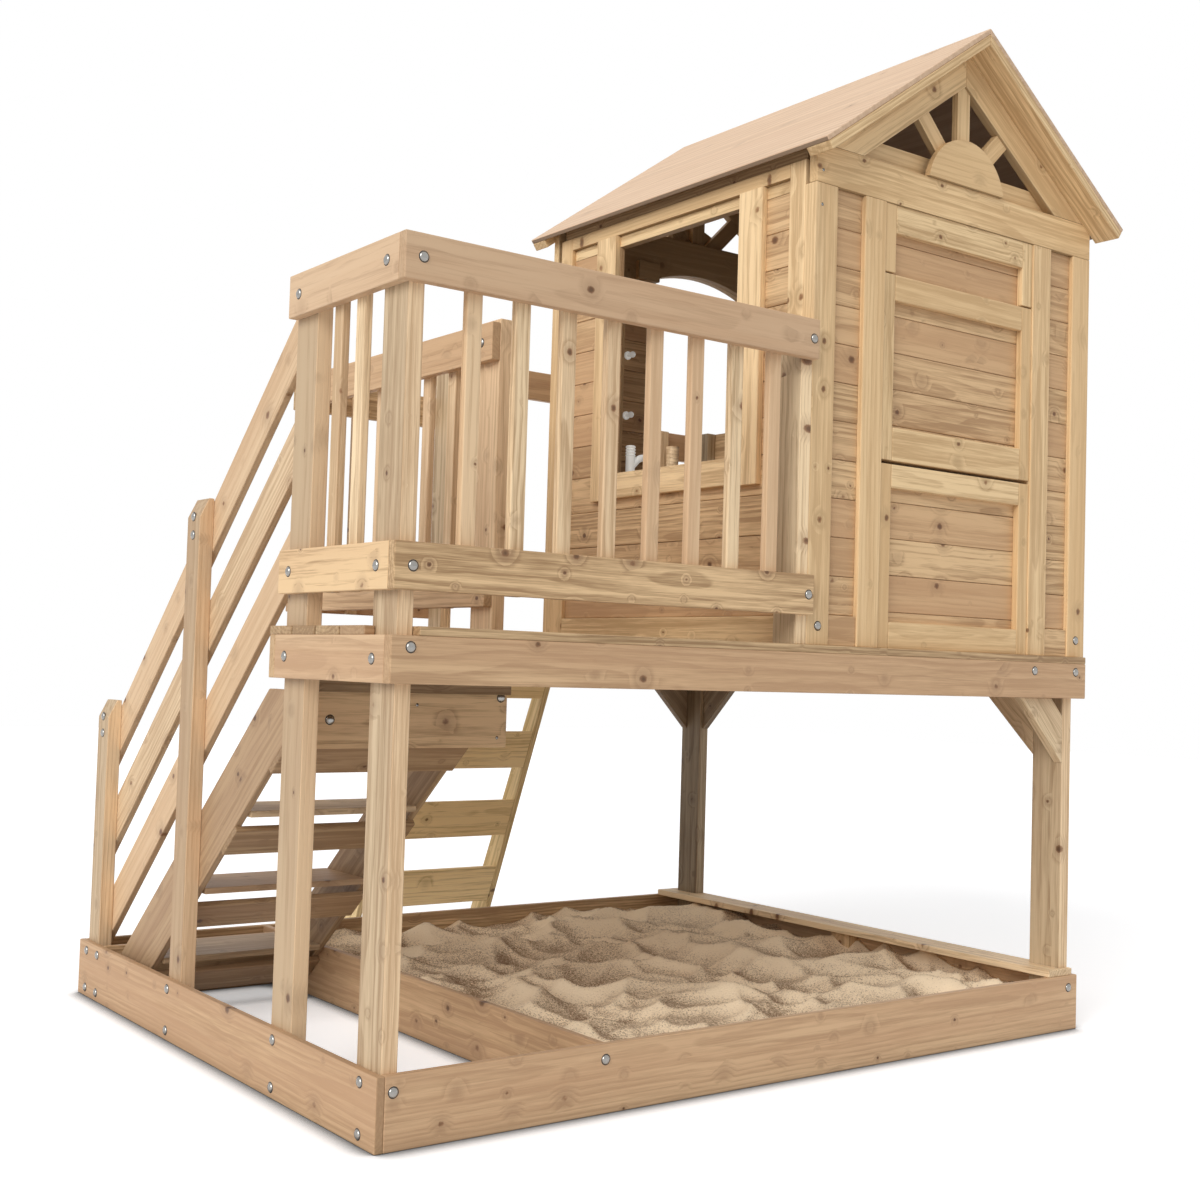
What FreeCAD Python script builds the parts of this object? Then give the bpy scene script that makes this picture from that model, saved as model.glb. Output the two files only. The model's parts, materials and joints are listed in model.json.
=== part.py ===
import FreeCAD, Part
import math
import os
import Sketcher
from FreeCAD import Rotation, Vector

# Wooden play centre: a raised deck with a little house, a stair, a ladder and a sandpit.
# X runs along the front, Y towards the back, Z up. The origin is the middle of the footprint, on the ground.
doc = FreeCAD.newDocument("play_centre")
sheet = doc.addObject("Spreadsheet::Sheet", "sizes")


class Size:
    """A length: its value now, and the expression over the sheet that keeps it."""

    def __init__(self, value, text):
        self.value = value
        self.text = text

    def __add__(self, other):
        other = size_of(other)
        return Size(self.value + other.value, f"({self.text} + {other.text})")

    def __radd__(self, other):
        return size_of(other) + self

    def __sub__(self, other):
        other = size_of(other)
        return Size(self.value - other.value, f"({self.text} - {other.text})")

    def __rsub__(self, other):
        return size_of(other) - self

    def __mul__(self, other):
        other = size_of(other)
        return Size(self.value * other.value, f"{self.text} * {other.text}")

    def __rmul__(self, other):
        return size_of(other) * self

    def __truediv__(self, other):
        other = size_of(other)
        return Size(self.value / other.value, f"{self.text} / ({other.text})")

    def __neg__(self):
        return size_of(0) - self


def size_of(thing):
    return thing if isinstance(thing, Size) else Size(thing, repr(thing))


def root(size):
    return Size(math.sqrt(size.value), f"sqrt({size.text})")


rows = 0


def cell(alias, value):
    """One driving size: a plain number in the sheet under its alias."""
    global rows
    rows += 1
    sheet.set(f"A{rows}", alias)
    sheet.set(f"B{rows}", str(value))
    sheet.setAlias(f"B{rows}", alias)
    return Size(value, f"sizes.{alias}")


# The frame's origin, set once everything stands
origin_x = cell("origin_x", 0)
origin_y = cell("origin_y", 0)

# Timber stock
base_high = cell("base_board_high", 140)
base_thick = cell("base_board_thick", 18)
beam_high = cell("beam_high", 91)
beam_thick = cell("beam_thick", 25)
rail_high = cell("rail_high", 91)
rail_thick = cell("rail_thick", 23)
post_wide = cell("post_wide", 36)
post_deep = cell("post_deep", 92)
newel_deep = cell("newel_deep", 72)
deck_thick = cell("deck_board_thick", 18)
slat_wide = cell("baluster_wide", 35)
slat_thick = cell("baluster_thick", 18)
shadow_gap = cell("shadow_gap", 1)

# Base frame and sandpit
base_long = cell("base_long", 2090)
base_deep = cell("base_deep", 1600)
deck_setback = cell("deck_setback", 38)
divider_at = cell("divider_place", 522)
end_board_at = cell("end_board_place", 1458)
seat_wide = cell("seat_wide", 95)
seat_thick = cell("seat_thick", 18)
seat_end = cell("seat_end_setback", 3)
seat_post_at = cell("seat_support_place", 756)
sand_level = cell("sand_level", 78)
sand_wave = cell("sand_wave", 14)

# Deck
deck_low = cell("beam_underside", 860)
landing_deep = cell("landing_edge", 504)
well_at = cell("well_edge", 568)
board_gap = cell("deck_board_gap", 5)
deck_pitch = cell("deck_board_pitch", 103)
front_brace_leg = cell("front_brace_leg", 170)
brace_leg = cell("brace_leg", 153)
brace_cut = cell("brace_cut_high", 123)

# Railings
top_rail_low = cell("top_rail_underside", 1619)
low_rail_low = cell("bottom_rail_underside", 1036)
guard_post_over = cell("guard_post_over_rail", 10)
slat_pitch = cell("baluster_pitch", 117)
side_slat_pitch = cell("side_baluster_pitch", 95)
grab_low = cell("grab_rail_underside", 1753)

# Stair
rise = cell("stair_rise", 203)
going = cell("stair_going", 233)
tread_low_top = cell("lowest_tread_top", 150)
tread_deep = cell("tread_deep", 216)
tread_thick = cell("tread_thick", 15)
stringer_thick = cell("stringer_thick", 18)
stringer_wide = cell("stringer_wide", 140)
stringer_top_at = cell("stringer_top_place", 625)
under_wide = cell("under_board_wide", 95)
under_drop = cell("under_board_drop", 22)
header_low = cell("header_underside", 709)
header_high = cell("header_high", 125)
header_right = cell("header_right_end", 604)
handrail_gap = cell("handrail_spacing", 236)
handrail_top = cell("handrail_top_at_newel", 1208)
handrail_low_top = cell("handrail_top_at_foot", 701)
handrail_thick = cell("handrail_thick", 18)
newel_high_at = cell("tall_newel_place", 960)
newel_high_top = cell("tall_newel_top", 1276)
newel_low_at = cell("short_newel_place", 1510)
newel_low_top = cell("short_newel_top", 777)
newel_cut = cell("newel_chamfer_wide", 22)
newel_cut_high = cell("newel_chamfer_high", 45)

# Ladder
ladder_left = cell("ladder_left", 1010)
ladder_wide = cell("ladder_wide", 520)
ladder_lean = cell("ladder_lean", 390)
ladder_stile_wide = cell("ladder_stile_wide", 22)
ladder_rail_deep = cell("ladder_stile_deep", 82)
ladder_rung_wide = cell("rung_wide", 122)
ladder_rung_thick = cell("rung_thick", 20)
ladder_rung_rise = cell("rung_spacing", 231)
ladder_rung_first = cell("lowest_rung", 103)
ladder_post_top = cell("ladder_post_top", 1843)

# House
house_over = cell("house_over_base", 32)
house_wide = cell("house_wide", 1034)
house_deep = cell("house_deep", 1034)
house_post = cell("house_post_wide", 72)
batten_gap = cell("batten_gap", 93)
wall_high = cell("wall_high", 1069)
band_high = cell("gable_band_high", 92)
band_thick = cell("gable_band_thick", 25)
batten_thick = cell("gable_batten_thick", 18)
batten_over = cell("gable_batten_over_band", 56)
side_wall_rise = cell("side_wall_rise", 27)
plate_high = cell("wall_plate_high", 34)
lintel_high = cell("lintel_high", 30)
stud_wide = cell("corner_stud_wide", 52)
clad_thick = cell("cladding_thick", 15)
clad_back = cell("cladding_setback", 12)
clad_pitch = cell("cladding_pitch", 89)
block_high = cell("bottom_block_high", 72)
foot_band_high = cell("bottom_band_high", 66)
trim_wide = cell("window_trim_wide", 82)
trim_thick = cell("window_trim_thick", 18)
trim_drop = cell("window_trim_drop", 4)
window_near = cell("window_near_edge", 274)
window_far_edge = cell("window_from_back", 292)
sill_low = cell("sill_height", 384)
sill_high = cell("sill_board_high", 67)
door_wide = cell("doorway_wide", 350)
arch_rise = cell("arch_rise", 33)
arch_spring = cell("arch_spring_height", 1083)
cleat_long = cell("cleat_long", 78)
cleat_high = cell("cleat_high", 55)

# Front panels
stile_wide = cell("panel_stile_wide", 40)
panel_frame_thick = cell("panel_frame_thick", 18)
panel_frame_back = cell("panel_frame_setback", 4)
panel_board_thick = cell("panel_board_thick", 14)
panel_gap = cell("panel_gap", 9)
stile_joint = cell("stile_joint", 4)
low_panel_high = cell("low_panel_high", 441)
low_rail_bottom = cell("low_panel_bottom_rail", 64)
low_rail_top = cell("low_panel_top_rail", 57)
mid_panel_high = cell("mid_panel_high", 449)
mid_rail_bottom = cell("mid_panel_bottom_rail", 80)
mid_rail_top = cell("mid_panel_top_rail", 62)
top_rail_wide = cell("top_panel_rail", 68)

# Roof
eave_over = cell("eave_over_wall", 43)
peak_rise = cell("peak_over_band", 382)
roof_front = cell("roof_front_overhang", 73)
roof_back = cell("roof_back_overhang", 56)
roof_thick = cell("roof_sheet_thick", 12)
barge_thick = cell("barge_board_thick", 22)
rafter_wide = cell("rafter_wide", 91)
rafter_thick = cell("rafter_thick", 25)
ridge_high = cell("ridge_board_high", 80)
ridge_thick = cell("ridge_board_thick", 18)
sun_half = cell("sun_half_wide", 141)
sun_high = cell("sun_high", 115)
sun_thick = cell("sun_thick", 16)
ray_wide = cell("ray_wide", 46)
ray_thick = cell("ray_thick", 18)

# Kitchen corner
bench_height = cell("bench_height", 431)
bench_long = cell("bench_long", 290)
bench_deep = cell("bench_deep", 430)
bench_thick = cell("bench_thick", 18)
sink_long = cell("sink_long", 170)
sink_deep = cell("sink_deep", 150)
sink_high = cell("sink_high", 70)
sink_wall = cell("sink_wall", 3)
sink_rim = cell("sink_rim", 12)
fit_gap = cell("fit_gap", 0.5)
tap_radius = cell("tap_radius", 14)
tap_flange = cell("tap_flange_radius", 22)
tap_flange_high = cell("tap_flange_high", 6)
tap_column_high = cell("tap_column_high", 20)
tap_stem = cell("tap_stem_radius", 8)
spout_collar_radius = cell("spout_collar_radius", 12.5)
spout_collar_high = cell("spout_collar_high", 54)
neck_low = cell("spout_neck_from_collar", 24)
neck_run = cell("spout_neck_run", 21)
spout_reach = cell("spout_reach", 38)
spout_radius = cell("spout_radius", 9.5)
spout_drop = cell("spout_drop", 12)
knob_high = cell("knob_high", 31)
knob_rib = cell("knob_rib_radius", 2.5)
knob_ribs = 4
tap_from_wall = cell("tap_from_back_wall", 210)
tap_from_side = cell("tap_from_side_wall", 66)
running_gap = cell("tap_running_gap", 0.3)
hook_radius = cell("hook_radius", 12)
hook_plate = cell("hook_plate_thick", 4)
hook_reach = cell("hook_reach", 24)
hook_ball_share = 0.75
hook_low = cell("low_hook_height", 669)
hook_high = cell("high_hook_height", 845)
hook_from_post = cell("hook_from_post", 17)
peg_foot = cell("peg_foot_radius", 14.5)
peg_head = cell("peg_head_radius", 17.5)
peg_high = cell("peg_high", 93)
peg_from_front = cell("peg_from_bench_front", 54)
peg_from_side = cell("peg_from_side_wall", 76)

# Carriage bolts
bolt_radius = cell("bolt_head_radius", 9)
bolt_high = cell("bolt_head_high", 5)
bolt_edge = cell("bolt_edge_distance", 22)

# Places worked out from the driving sizes
base_right = base_long - base_thick
base_back = base_deep - base_thick
deck_back = base_back - deck_setback
beam_out = base_thick - beam_thick
rail_out = base_thick - rail_thick
deck_under = deck_low + beam_high
deck_top = deck_under + deck_thick
beam_right = base_right + beam_thick
beam_back = deck_back + beam_thick
rail_right = base_right + rail_thick
rail_back = deck_back + rail_thick
stair_beam_at = landing_deep - beam_thick
stair_post_at = stair_beam_at - post_deep
post_in = base_thick + post_wide
top_rail_top = top_rail_low + rail_high
house_left = base_long + house_over - house_wide
house_right = house_left + house_wide
house_front = base_thick
house_back = house_front + house_deep
house_mid = house_left + house_wide / 2
wall_top = deck_top + wall_high
side_top = wall_top + side_wall_rise
band_top = wall_top + band_high
ladder_right = ladder_left + ladder_wide

nodes = {}


def bind(thing, name, size):
    thing.setExpression(name, size.text)


def place(thing, x=0, y=0, z=0):
    """Puts a thing's own zero at a place of the base frame."""
    bind(thing, "Placement.Base.x", size_of(x) - origin_x)
    bind(thing, "Placement.Base.y", size_of(y) - origin_y)
    bind(thing, "Placement.Base.z", size_of(z))


def box(name, x, y, z):
    """A board or block between two X, two Y and two Z places."""
    block = doc.addObject("Part::Box", name)
    bind(block, "Length", x[1] - x[0])
    bind(block, "Width", y[1] - y[0])
    bind(block, "Height", z[1] - z[0])
    place(block, x[0], y[0], z[0])
    return block


def cylinder(name, radius, height, x, y, z, turn=None):
    """A round piece along Z, or along its turned axis."""
    rod = doc.addObject("Part::Cylinder", name)
    bind(rod, "Radius", radius)
    bind(rod, "Height", height)
    if turn:
        rod.Placement.Rotation = turn
    place(rod, x, y, z)
    return rod


def group(name, pieces):
    """Several separate solids under one name."""
    bundle = doc.addObject("Part::Compound", name)
    bundle.Links = pieces
    return bundle


def cut(name, base, tool):
    piece = doc.addObject("Part::Cut", name)
    piece.Base = base
    piece.Tool = tool
    return piece


def fuse(name, pieces):
    piece = doc.addObject("Part::MultiFuse", name)
    piece.Shapes = pieces
    return piece


def outline(name, plane, points, low, high):
    """A board with a flat outline on the XZ or YZ plane, between two places along the third axis."""
    body = doc.addObject("PartDesign::Body", name)
    sketch = body.newObject("Sketcher::SketchObject", f"{name}_outline")
    flat = next(face for face in body.Origin.OriginFeatures if face.Role == plane)
    sketch.AttachmentSupport = (flat, [""])
    sketch.MapMode = "FlatFace"
    count = len(points)
    for index in range(count):
        start = points[index]
        end = points[(index + 1) % count]
        first = Vector(start[0].value, start[1].value, 0)
        second = Vector(end[0].value, end[1].value, 0)
        sketch.addGeometry(Part.LineSegment(first, second), False)
    for index in range(count):
        sketch.addConstraint(Sketcher.Constraint("Coincident", index, 2, (index + 1) % count, 1))
        for way, size in zip(("DistanceX", "DistanceY"), points[index]):
            number = sketch.addConstraint(Sketcher.Constraint(way, -1, 1, index, 1, size.value))
            sketch.setExpression(f"Constraints[{number}]", size.text)
    bind(sketch, "AttachmentOffset.Base.z", low if plane == "YZ_Plane" else -high)
    pad = body.newObject("PartDesign::Pad", f"{name}_board")
    pad.Profile = sketch
    bind(pad, "Length", high - low)
    body.Tip = pad
    place(body)
    return body


def node(name, pieces):
    """Names a sub-part, which is one piece or a group of separate solids."""
    piece = pieces[0] if len(pieces) == 1 else group(name, pieces)
    piece.Label = name
    nodes[name] = piece


def span(low, length):
    return (low, low + length)


def make_base():
    far = base_deep
    high = (size_of(0), base_high)
    node("base_left", [box("left_board", (size_of(0), base_thick), (size_of(0), far), high)])
    node("base_front", [box("front_board", (base_thick, base_long), (size_of(0), base_thick), high)])
    node("base_right", [box("right_board", (base_right, base_long), (base_thick, base_back), high)])
    node("base_back", [box("back_board", (base_thick, base_long), (base_back, far), high)])
    node("sandpit_divider", [box("divider", span(divider_at, base_thick), (base_thick, base_back), high)])
    node("stair_end_board", [box("end_board", (base_thick, divider_at), span(end_board_at, base_thick), high)])


def make_seat():
    plank = box("seat_plank_blank", (base_right - seat_wide, base_right), (seat_end, base_back - seat_end),
                span(base_high, seat_thick))
    past = (base_high - seat_thick, base_high + 2 * seat_thick)
    notch_x = (base_right - post_wide - shadow_gap, base_right + shadow_gap)
    notches = [
        box("seat_notch_front", notch_x, (base_thick - shadow_gap, base_thick + post_deep + shadow_gap), past),
        box("seat_notch_back", notch_x, (deck_back - post_deep - shadow_gap, deck_back + shadow_gap), past),
    ]
    node("seat_plank", [cut("seat_plank_cut", plank, group("seat_notches", notches))])
    node("seat_support", [box("seat_stub", (base_right - post_wide, base_right), span(seat_post_at, newel_deep),
                              (size_of(0), base_high))])


def make_sand():
    """Raked sand in low dunes between the divider and the right-hand board."""
    low_x = divider_at + base_thick
    length = (base_right - low_x).value
    depth = (base_back - base_thick).value
    counts = (13, 11)
    heights = []
    for i in range(counts[0]):
        along = i / (counts[0] - 1)
        line = []
        for j in range(counts[1]):
            across = j / (counts[1] - 1)
            wave = math.sin(4.2 * math.pi * along + 3 * across) + math.cos(5.1 * math.pi * across - 2 * along)
            line.append(Vector(along * length, across * depth, sand_level.value + sand_wave.value * wave / 2))
        heights.append(line)
    surface = Part.BSplineSurface()
    surface.interpolate(heights)
    fall = sand_level.value + sand_wave.value
    heap = surface.toShape().extrude(Vector(0, 0, -2 * fall))
    pit = Part.makeBox(length, depth, 2 * fall)
    solid = heap.common(pit)
    posts_x = (base_right - post_wide - low_x).value
    well_x = (well_at - low_x).value
    back_y = (deck_back - base_thick - post_deep).value
    for x, y in ((posts_x, 0), (posts_x, back_y), (well_x, back_y)):
        solid = solid.cut(Part.makeBox(post_wide.value, post_deep.value, 2 * fall, Vector(x, y, 0)))
    stub_y = (seat_post_at - base_thick).value
    solid = solid.cut(Part.makeBox(post_wide.value, newel_deep.value, 2 * fall, Vector(posts_x, stub_y, 0)))
    sand = doc.addObject("Part::Feature", "sand_heap")
    sand.Shape = solid.Solids[0]
    place(sand, low_x, base_thick, 0)
    node("sand_fill", [sand])


def post(name, x, y, low, high, deep=post_deep):
    return box(name, span(x, post_wide), span(y, deep), (low, high))


def newel(name, y, top):
    """A stair newel with the top of its outer edge cut off at a slant."""
    low = base_thick
    points = [
        (low, size_of(0)),
        (low + post_wide, size_of(0)),
        (low + post_wide, top),
        (low + newel_cut, top),
        (low, top - newel_cut_high),
    ]
    return outline(name, "XZ_Plane", points, y, y + newel_deep)


def make_posts():
    ground = size_of(0)
    right_x = base_right - post_wide
    back_y = deck_back - post_deep
    top = top_rail_top
    node("post_front_left", [post("front_left", base_thick, base_thick, ground, top)])
    node("post_stair", [post("stair_post", base_thick, stair_post_at, ground, top)])
    node("post_front_right", [post("front_right", right_x, base_thick, ground, deck_under)])
    node("post_back_right", [post("back_right", right_x, back_y, ground, top)])
    near = post("guard_near", well_at, landing_deep + beam_thick, header_low, top + guard_post_over)
    far = post("guard_far", well_at, back_y, ground, top + guard_post_over)
    node("guard_posts", [near, far])
    node("newel_lower", [newel("lower_newel", newel_low_at, newel_low_top)])
    node("newel_upper", [newel("upper_newel", newel_high_at, newel_high_top)])
    left = post("ladder_post_left", ladder_left, deck_back - newel_deep, deck_top, ladder_post_top, newel_deep)
    right = post("ladder_post_right", ladder_right - post_wide, deck_back - newel_deep, deck_top,
                 ladder_post_top, newel_deep)
    end_x = house_left - post_wide
    end = post("end_post", end_x, base_thick, deck_top, top, newel_deep)
    node("railing_posts", [left, right, end])


def brace(name, plane, near, low, high, reach):
    """A slanting board from a post to the beam above it; reach runs from the post's face, either way."""
    if reach.value > 0:
        leg = reach
        cut_at = near + reach - brace_cut
    else:
        leg = -reach
        cut_at = near + reach + brace_cut
    points = [
        (near, deck_low - leg),
        (near, deck_low - leg + brace_cut),
        (cut_at, deck_low),
        (near + reach, deck_low),
    ]
    return outline(name, plane, points, low, high)


def make_braces():
    inner_x = base_right - post_wide
    front_y = base_thick + post_deep
    back_y = deck_back - post_deep
    inside = (inner_x, inner_x + beam_thick)
    outside = (base_right - beam_thick, base_right)
    pieces = [
        brace("brace_front_x", "XZ_Plane", inner_x, base_thick, base_thick + beam_thick, -front_brace_leg),
        brace("brace_front_y", "YZ_Plane", front_y, inside[0], inside[1], brace_leg),
        brace("brace_back_x", "XZ_Plane", inner_x, deck_back - beam_thick, deck_back, -brace_leg),
        brace("brace_back_y", "YZ_Plane", back_y, outside[0], outside[1], -brace_leg),
    ]
    node("knee_braces", pieces)


def make_beams():
    high = (deck_low, deck_under)
    well_left = well_at - beam_thick
    node("deck_beam_front", [box("beam_front", (beam_out, beam_right), (beam_out, base_thick), high)])
    node("deck_beam_left", [box("beam_left", (beam_out, base_thick), (base_thick, stair_beam_at), high)])
    node("deck_beam_stair", [box("beam_stair", (beam_out, well_at), (stair_beam_at, landing_deep), high)])
    node("deck_beam_well", [box("beam_well", (well_left, well_at), (landing_deep, deck_back), high)])
    node("deck_beam_back", [box("beam_back", (well_left, beam_right), (deck_back, beam_back), high)])
    node("deck_beam_right", [box("beam_right", (base_right, beam_right), (base_thick, deck_back), high)])
    room = base_right - post_wide - well_at - post_wide
    count = 3
    joists = []
    for index in range(count):
        middle = well_at + post_wide + room * ((index + 1) / (count + 1))
        low = middle - beam_thick / 2
        joists.append(box(f"joist_{index}", span(low, beam_thick), (base_thick, deck_back), high))
    landing_mid = (base_thick + well_at) / 2
    joists.append(box("joist_landing", span(landing_mid, beam_thick), (base_thick, stair_beam_at), high))
    node("deck_joists", joists)


def make_deck():
    """Boards along X; the landing's run to the left edge and the rest stop at the stair well."""
    high = (deck_under, deck_top)
    boards = []
    front_room = landing_deep - beam_out
    front_count = max(1, round(front_room.value / deck_pitch.value))
    front_step = (front_room + board_gap) / front_count
    for index in range(front_count):
        low = beam_out + front_step * index
        left = post_in + shadow_gap if index == 0 else beam_out
        boards.append(box(f"landing_board_{index}", (left, beam_right), span(low, front_step - board_gap), high))
    back_room = beam_back - landing_deep - board_gap
    back_count = max(1, round(back_room.value / deck_pitch.value))
    back_step = (back_room + board_gap) / back_count
    for index in range(back_count):
        low = landing_deep + board_gap + back_step * index
        boards.append(box(f"deck_board_{index}", (well_at - beam_thick, beam_right),
                          span(low, back_step - board_gap), high))
    past = (deck_under - deck_thick, deck_top + deck_thick)
    places = [
        (base_thick, base_thick),
        (base_thick, stair_post_at),
        (well_at, landing_deep + beam_thick),
        (well_at, deck_back - post_deep),
        (base_right - post_wide, deck_back - post_deep),
    ]
    holes = []
    for index, (x, y) in enumerate(places):
        around_x = (x - shadow_gap, x + post_wide + shadow_gap)
        around_y = (y - shadow_gap, y + post_deep + shadow_gap)
        holes.append(box(f"post_hole_{index}", around_x, around_y, past))
    node("deck_boards", [cut("deck_cut", group("deck_blank", boards), group("post_holes", holes))])


slope = rise / going
stretch = root(1 + slope * slope)
stringer_tall = stringer_wide * stretch
header_far = landing_deep + beam_thick
header_top = header_low + header_high
stair_left = post_in
stair_right = divider_at


def stringer_edge(y):
    """Height of the stringers' upper edge at a place along the stair."""
    return header_top - slope * (y - stringer_top_at)


def stringer(name, low_x, high_x):
    foot_y = end_board_at
    ground_y = stringer_top_at + (header_top - stringer_tall) / slope
    points = [
        (header_far, stringer_edge(header_far) - stringer_tall),
        (header_far, header_top),
        (stringer_top_at, header_top),
        (foot_y, stringer_edge(foot_y)),
        (foot_y, size_of(0)),
        (ground_y, size_of(0)),
    ]
    return outline(name, "YZ_Plane", points, low_x, high_x)


def make_stair():
    node("stair_header", [box("header", (post_in, header_right), (landing_deep, header_far),
                              (header_low, header_top))])
    left = stringer("stringer_left", stair_left, stair_left + stringer_thick)
    right = stringer("stringer_right", stair_right - stringer_thick, stair_right)
    node("stair_stringers", [left, right])
    between = (stair_left + stringer_thick, stair_right - stringer_thick)
    tread_count = 4
    treads = []
    boards = []
    for index in range(tread_count):
        top = tread_low_top + rise * index
        near = stringer_top_at + (header_top - stringer_tall - top) / slope
        if index == tread_count - 1:
            deep = (header_far, near + tread_deep)
        else:
            deep = span(near, tread_deep)
        treads.append(box(f"tread_{index}", between, deep, (top - tread_thick, top)))
        boards.append(under_board(f"under_board_{index}", top - tread_thick - under_drop))
    node("stair_treads", treads)
    node("stair_under_boards", boards)


def under_board(name, top):
    """A board nailed across the stringers' lower edges, just under a tread; top is its upper corner."""
    run = under_wide / stretch
    fall = run * slope
    skin_y = tread_thick * slope / stretch
    skin_z = tread_thick / stretch
    high_y = stringer_top_at + (header_top - stringer_tall - top) / slope
    points = [
        (high_y, top),
        (high_y + run, top - fall),
        (high_y + run - skin_y, top - fall - skin_z),
        (high_y - skin_y, top - skin_z),
    ]
    return outline(name, "YZ_Plane", points, stair_left, stair_right)


def make_handrails():
    """Three sloping rails along the newels' inner faces, cut plumb at both ends."""
    reference = newel_high_at + newel_deep
    near_y = landing_deep
    far_y = newel_low_at + newel_deep
    fall = (handrail_top - handrail_low_top) / (far_y - reference)
    tall = rail_high * root(1 + fall * fall)
    rails = []
    for index in range(3):
        top = handrail_top - handrail_gap * index
        near = top + fall * (reference - near_y)
        far = top - fall * (far_y - reference)
        points = [(near_y, near - tall), (near_y, near), (far_y, far), (far_y, far - tall)]
        rails.append(outline(f"handrail_{index}", "YZ_Plane", points, post_in, post_in + handrail_thick))
    node("handrails", rails)


low_rail = span(low_rail_low, rail_high)
top_rail = span(top_rail_low, rail_high)
slat_high = (low_rail_low, top_rail_top)


def row_of_slats(name, start, end, pitch, make):
    """Balusters spread evenly between two posts, as near to the pitch as the room lets them."""
    count = max(1, round((end - start).value / pitch.value) - 1)
    step = (end - start) / (count + 1)
    return [make(f"{name}_{index}", start + step * (index + 1) - slat_wide / 2) for index in range(count)]


def make_railings():
    front_y = (rail_out, base_thick)
    left_x = (rail_out, base_thick)
    guard_x = (well_at - rail_thick, well_at)
    back_y = (deck_back, rail_back)
    right_x = (base_right, rail_right)
    front_end = house_left - shadow_gap
    left_y = (base_thick, stair_beam_at)
    node("landing_rails", [
        box("front_rail_low", (rail_out, front_end), front_y, low_rail),
        box("front_rail_top", (rail_out, front_end), front_y, top_rail),
        box("left_rail_low", left_x, left_y, low_rail),
        box("left_rail_top", left_x, left_y, top_rail),
    ])
    guard_y = (header_far, deck_back)
    node("guard_rails", [box("guard_rail_low", guard_x, guard_y, low_rail),
                         box("guard_rail_top", guard_x, guard_y, top_rail)])
    left_part = (well_at - rail_thick, ladder_left + post_wide)
    right_part = (ladder_right - post_wide, rail_right)
    side_y = (house_back + shadow_gap, deck_back)
    node("rear_rails", [
        box("rear_rail_left_low", left_part, back_y, low_rail),
        box("rear_rail_left_top", left_part, back_y, top_rail),
        box("rear_rail_right_low", right_part, back_y, low_rail),
        box("rear_rail_right_top", right_part, back_y, top_rail),
        box("side_rail_low", right_x, side_y, low_rail),
        box("side_rail_top", right_x, side_y, top_rail),
    ])
    grab_x = (ladder_left, ladder_right)
    node("ladder_grab_rail", [box("grab_rail", grab_x, back_y, (grab_low, ladder_post_top))])
    make_balusters()


def make_balusters():
    behind_front = span(base_thick, slat_thick)
    before_back = (deck_back - slat_thick, deck_back)
    beside_left = span(base_thick, slat_thick)
    beside_guard = span(well_at, slat_thick)
    beside_right = (base_right - slat_thick, base_right)

    def across(y):
        return lambda name, x: box(name, span(x, slat_wide), y, slat_high)

    def along(x):
        return lambda name, y: box(name, x, span(y, slat_wide), slat_high)

    guard_start = header_far + post_deep
    back_post = deck_back - post_deep
    slats = row_of_slats("front_slat", post_in, house_left, slat_pitch, across(behind_front))
    slats += row_of_slats("left_slat", base_thick + post_deep, stair_post_at, side_slat_pitch, along(beside_left))
    slats += row_of_slats("guard_slat", guard_start, back_post, slat_pitch, along(beside_guard))
    slats += row_of_slats("rear_left_slat", well_at + post_wide, ladder_left, slat_pitch, across(before_back))
    slats += row_of_slats("rear_right_slat", ladder_right, base_right - post_wide, slat_pitch, across(before_back))
    slats += row_of_slats("side_slat", house_back, back_post, slat_pitch, along(beside_right))
    node("railing_balusters", slats)


def make_ladder():
    """Two leaning stiles against the back beam, with boards between them as rungs."""
    top = deck_low + beam_high
    lean = ladder_lean / top
    skew = root(1 + lean * lean)
    deep = ladder_rail_deep * skew
    face = beam_back
    points = [
        (face, top),
        (face + deep - lean * ladder_rail_deep, top),
        (face + ladder_lean + deep, size_of(0)),
        (face + ladder_lean, size_of(0)),
    ]
    left = outline("ladder_stile_left", "YZ_Plane", points, *span(ladder_left, ladder_stile_wide))
    right = outline("ladder_stile_right", "YZ_Plane", points, ladder_right - ladder_stile_wide, ladder_right)
    node("ladder_stiles", [left, right])
    rungs = []
    for index in range(4):
        low = ladder_rung_first + ladder_rung_rise * index
        high = low + ladder_rung_wide
        low_y = face + lean * (top - low)
        high_y = face + lean * (top - high)
        thick = ladder_rung_thick * skew
        rung = [(low_y, low), (high_y, high), (high_y + thick, high), (low_y + thick, low)]
        rungs.append(outline(f"rung_{index}", "YZ_Plane", rung, ladder_left + ladder_stile_wide,
                             ladder_right - ladder_stile_wide))
    node("ladder_rungs", rungs)


def boards_up(name, low, high, make):
    """Horizontal cladding boards from one height to another, with a thin shadow line between them."""
    count = max(1, round((high - low).value / clad_pitch.value))
    step = (high - low + shadow_gap) / count
    return [make(f"{name}_{index}", span(low + step * index, step - shadow_gap)) for index in range(count)]


clad_front = house_front + clad_back
clad_left = house_left + clad_back
clad_right = house_right - clad_back
clad_rear = house_back - clad_back
frame_front = (house_front, house_front + post_wide)
frame_rear = (house_back - post_wide, house_back)
frame_left = (house_left, house_left + post_wide)
frame_right = (house_right - post_wide, house_right)
batten_left = house_left + house_post + batten_gap
batten_right = house_right - house_post - batten_gap
stud_near = house_front + post_wide
stud_far = house_back - post_wide
door_left = house_mid - door_wide / 2
door_right = house_mid + door_wide / 2


roof_half = house_wide / 2 + eave_over
roof_apex = band_top + peak_rise
roof_near = house_front - roof_front
roof_far = house_back + roof_back

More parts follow.
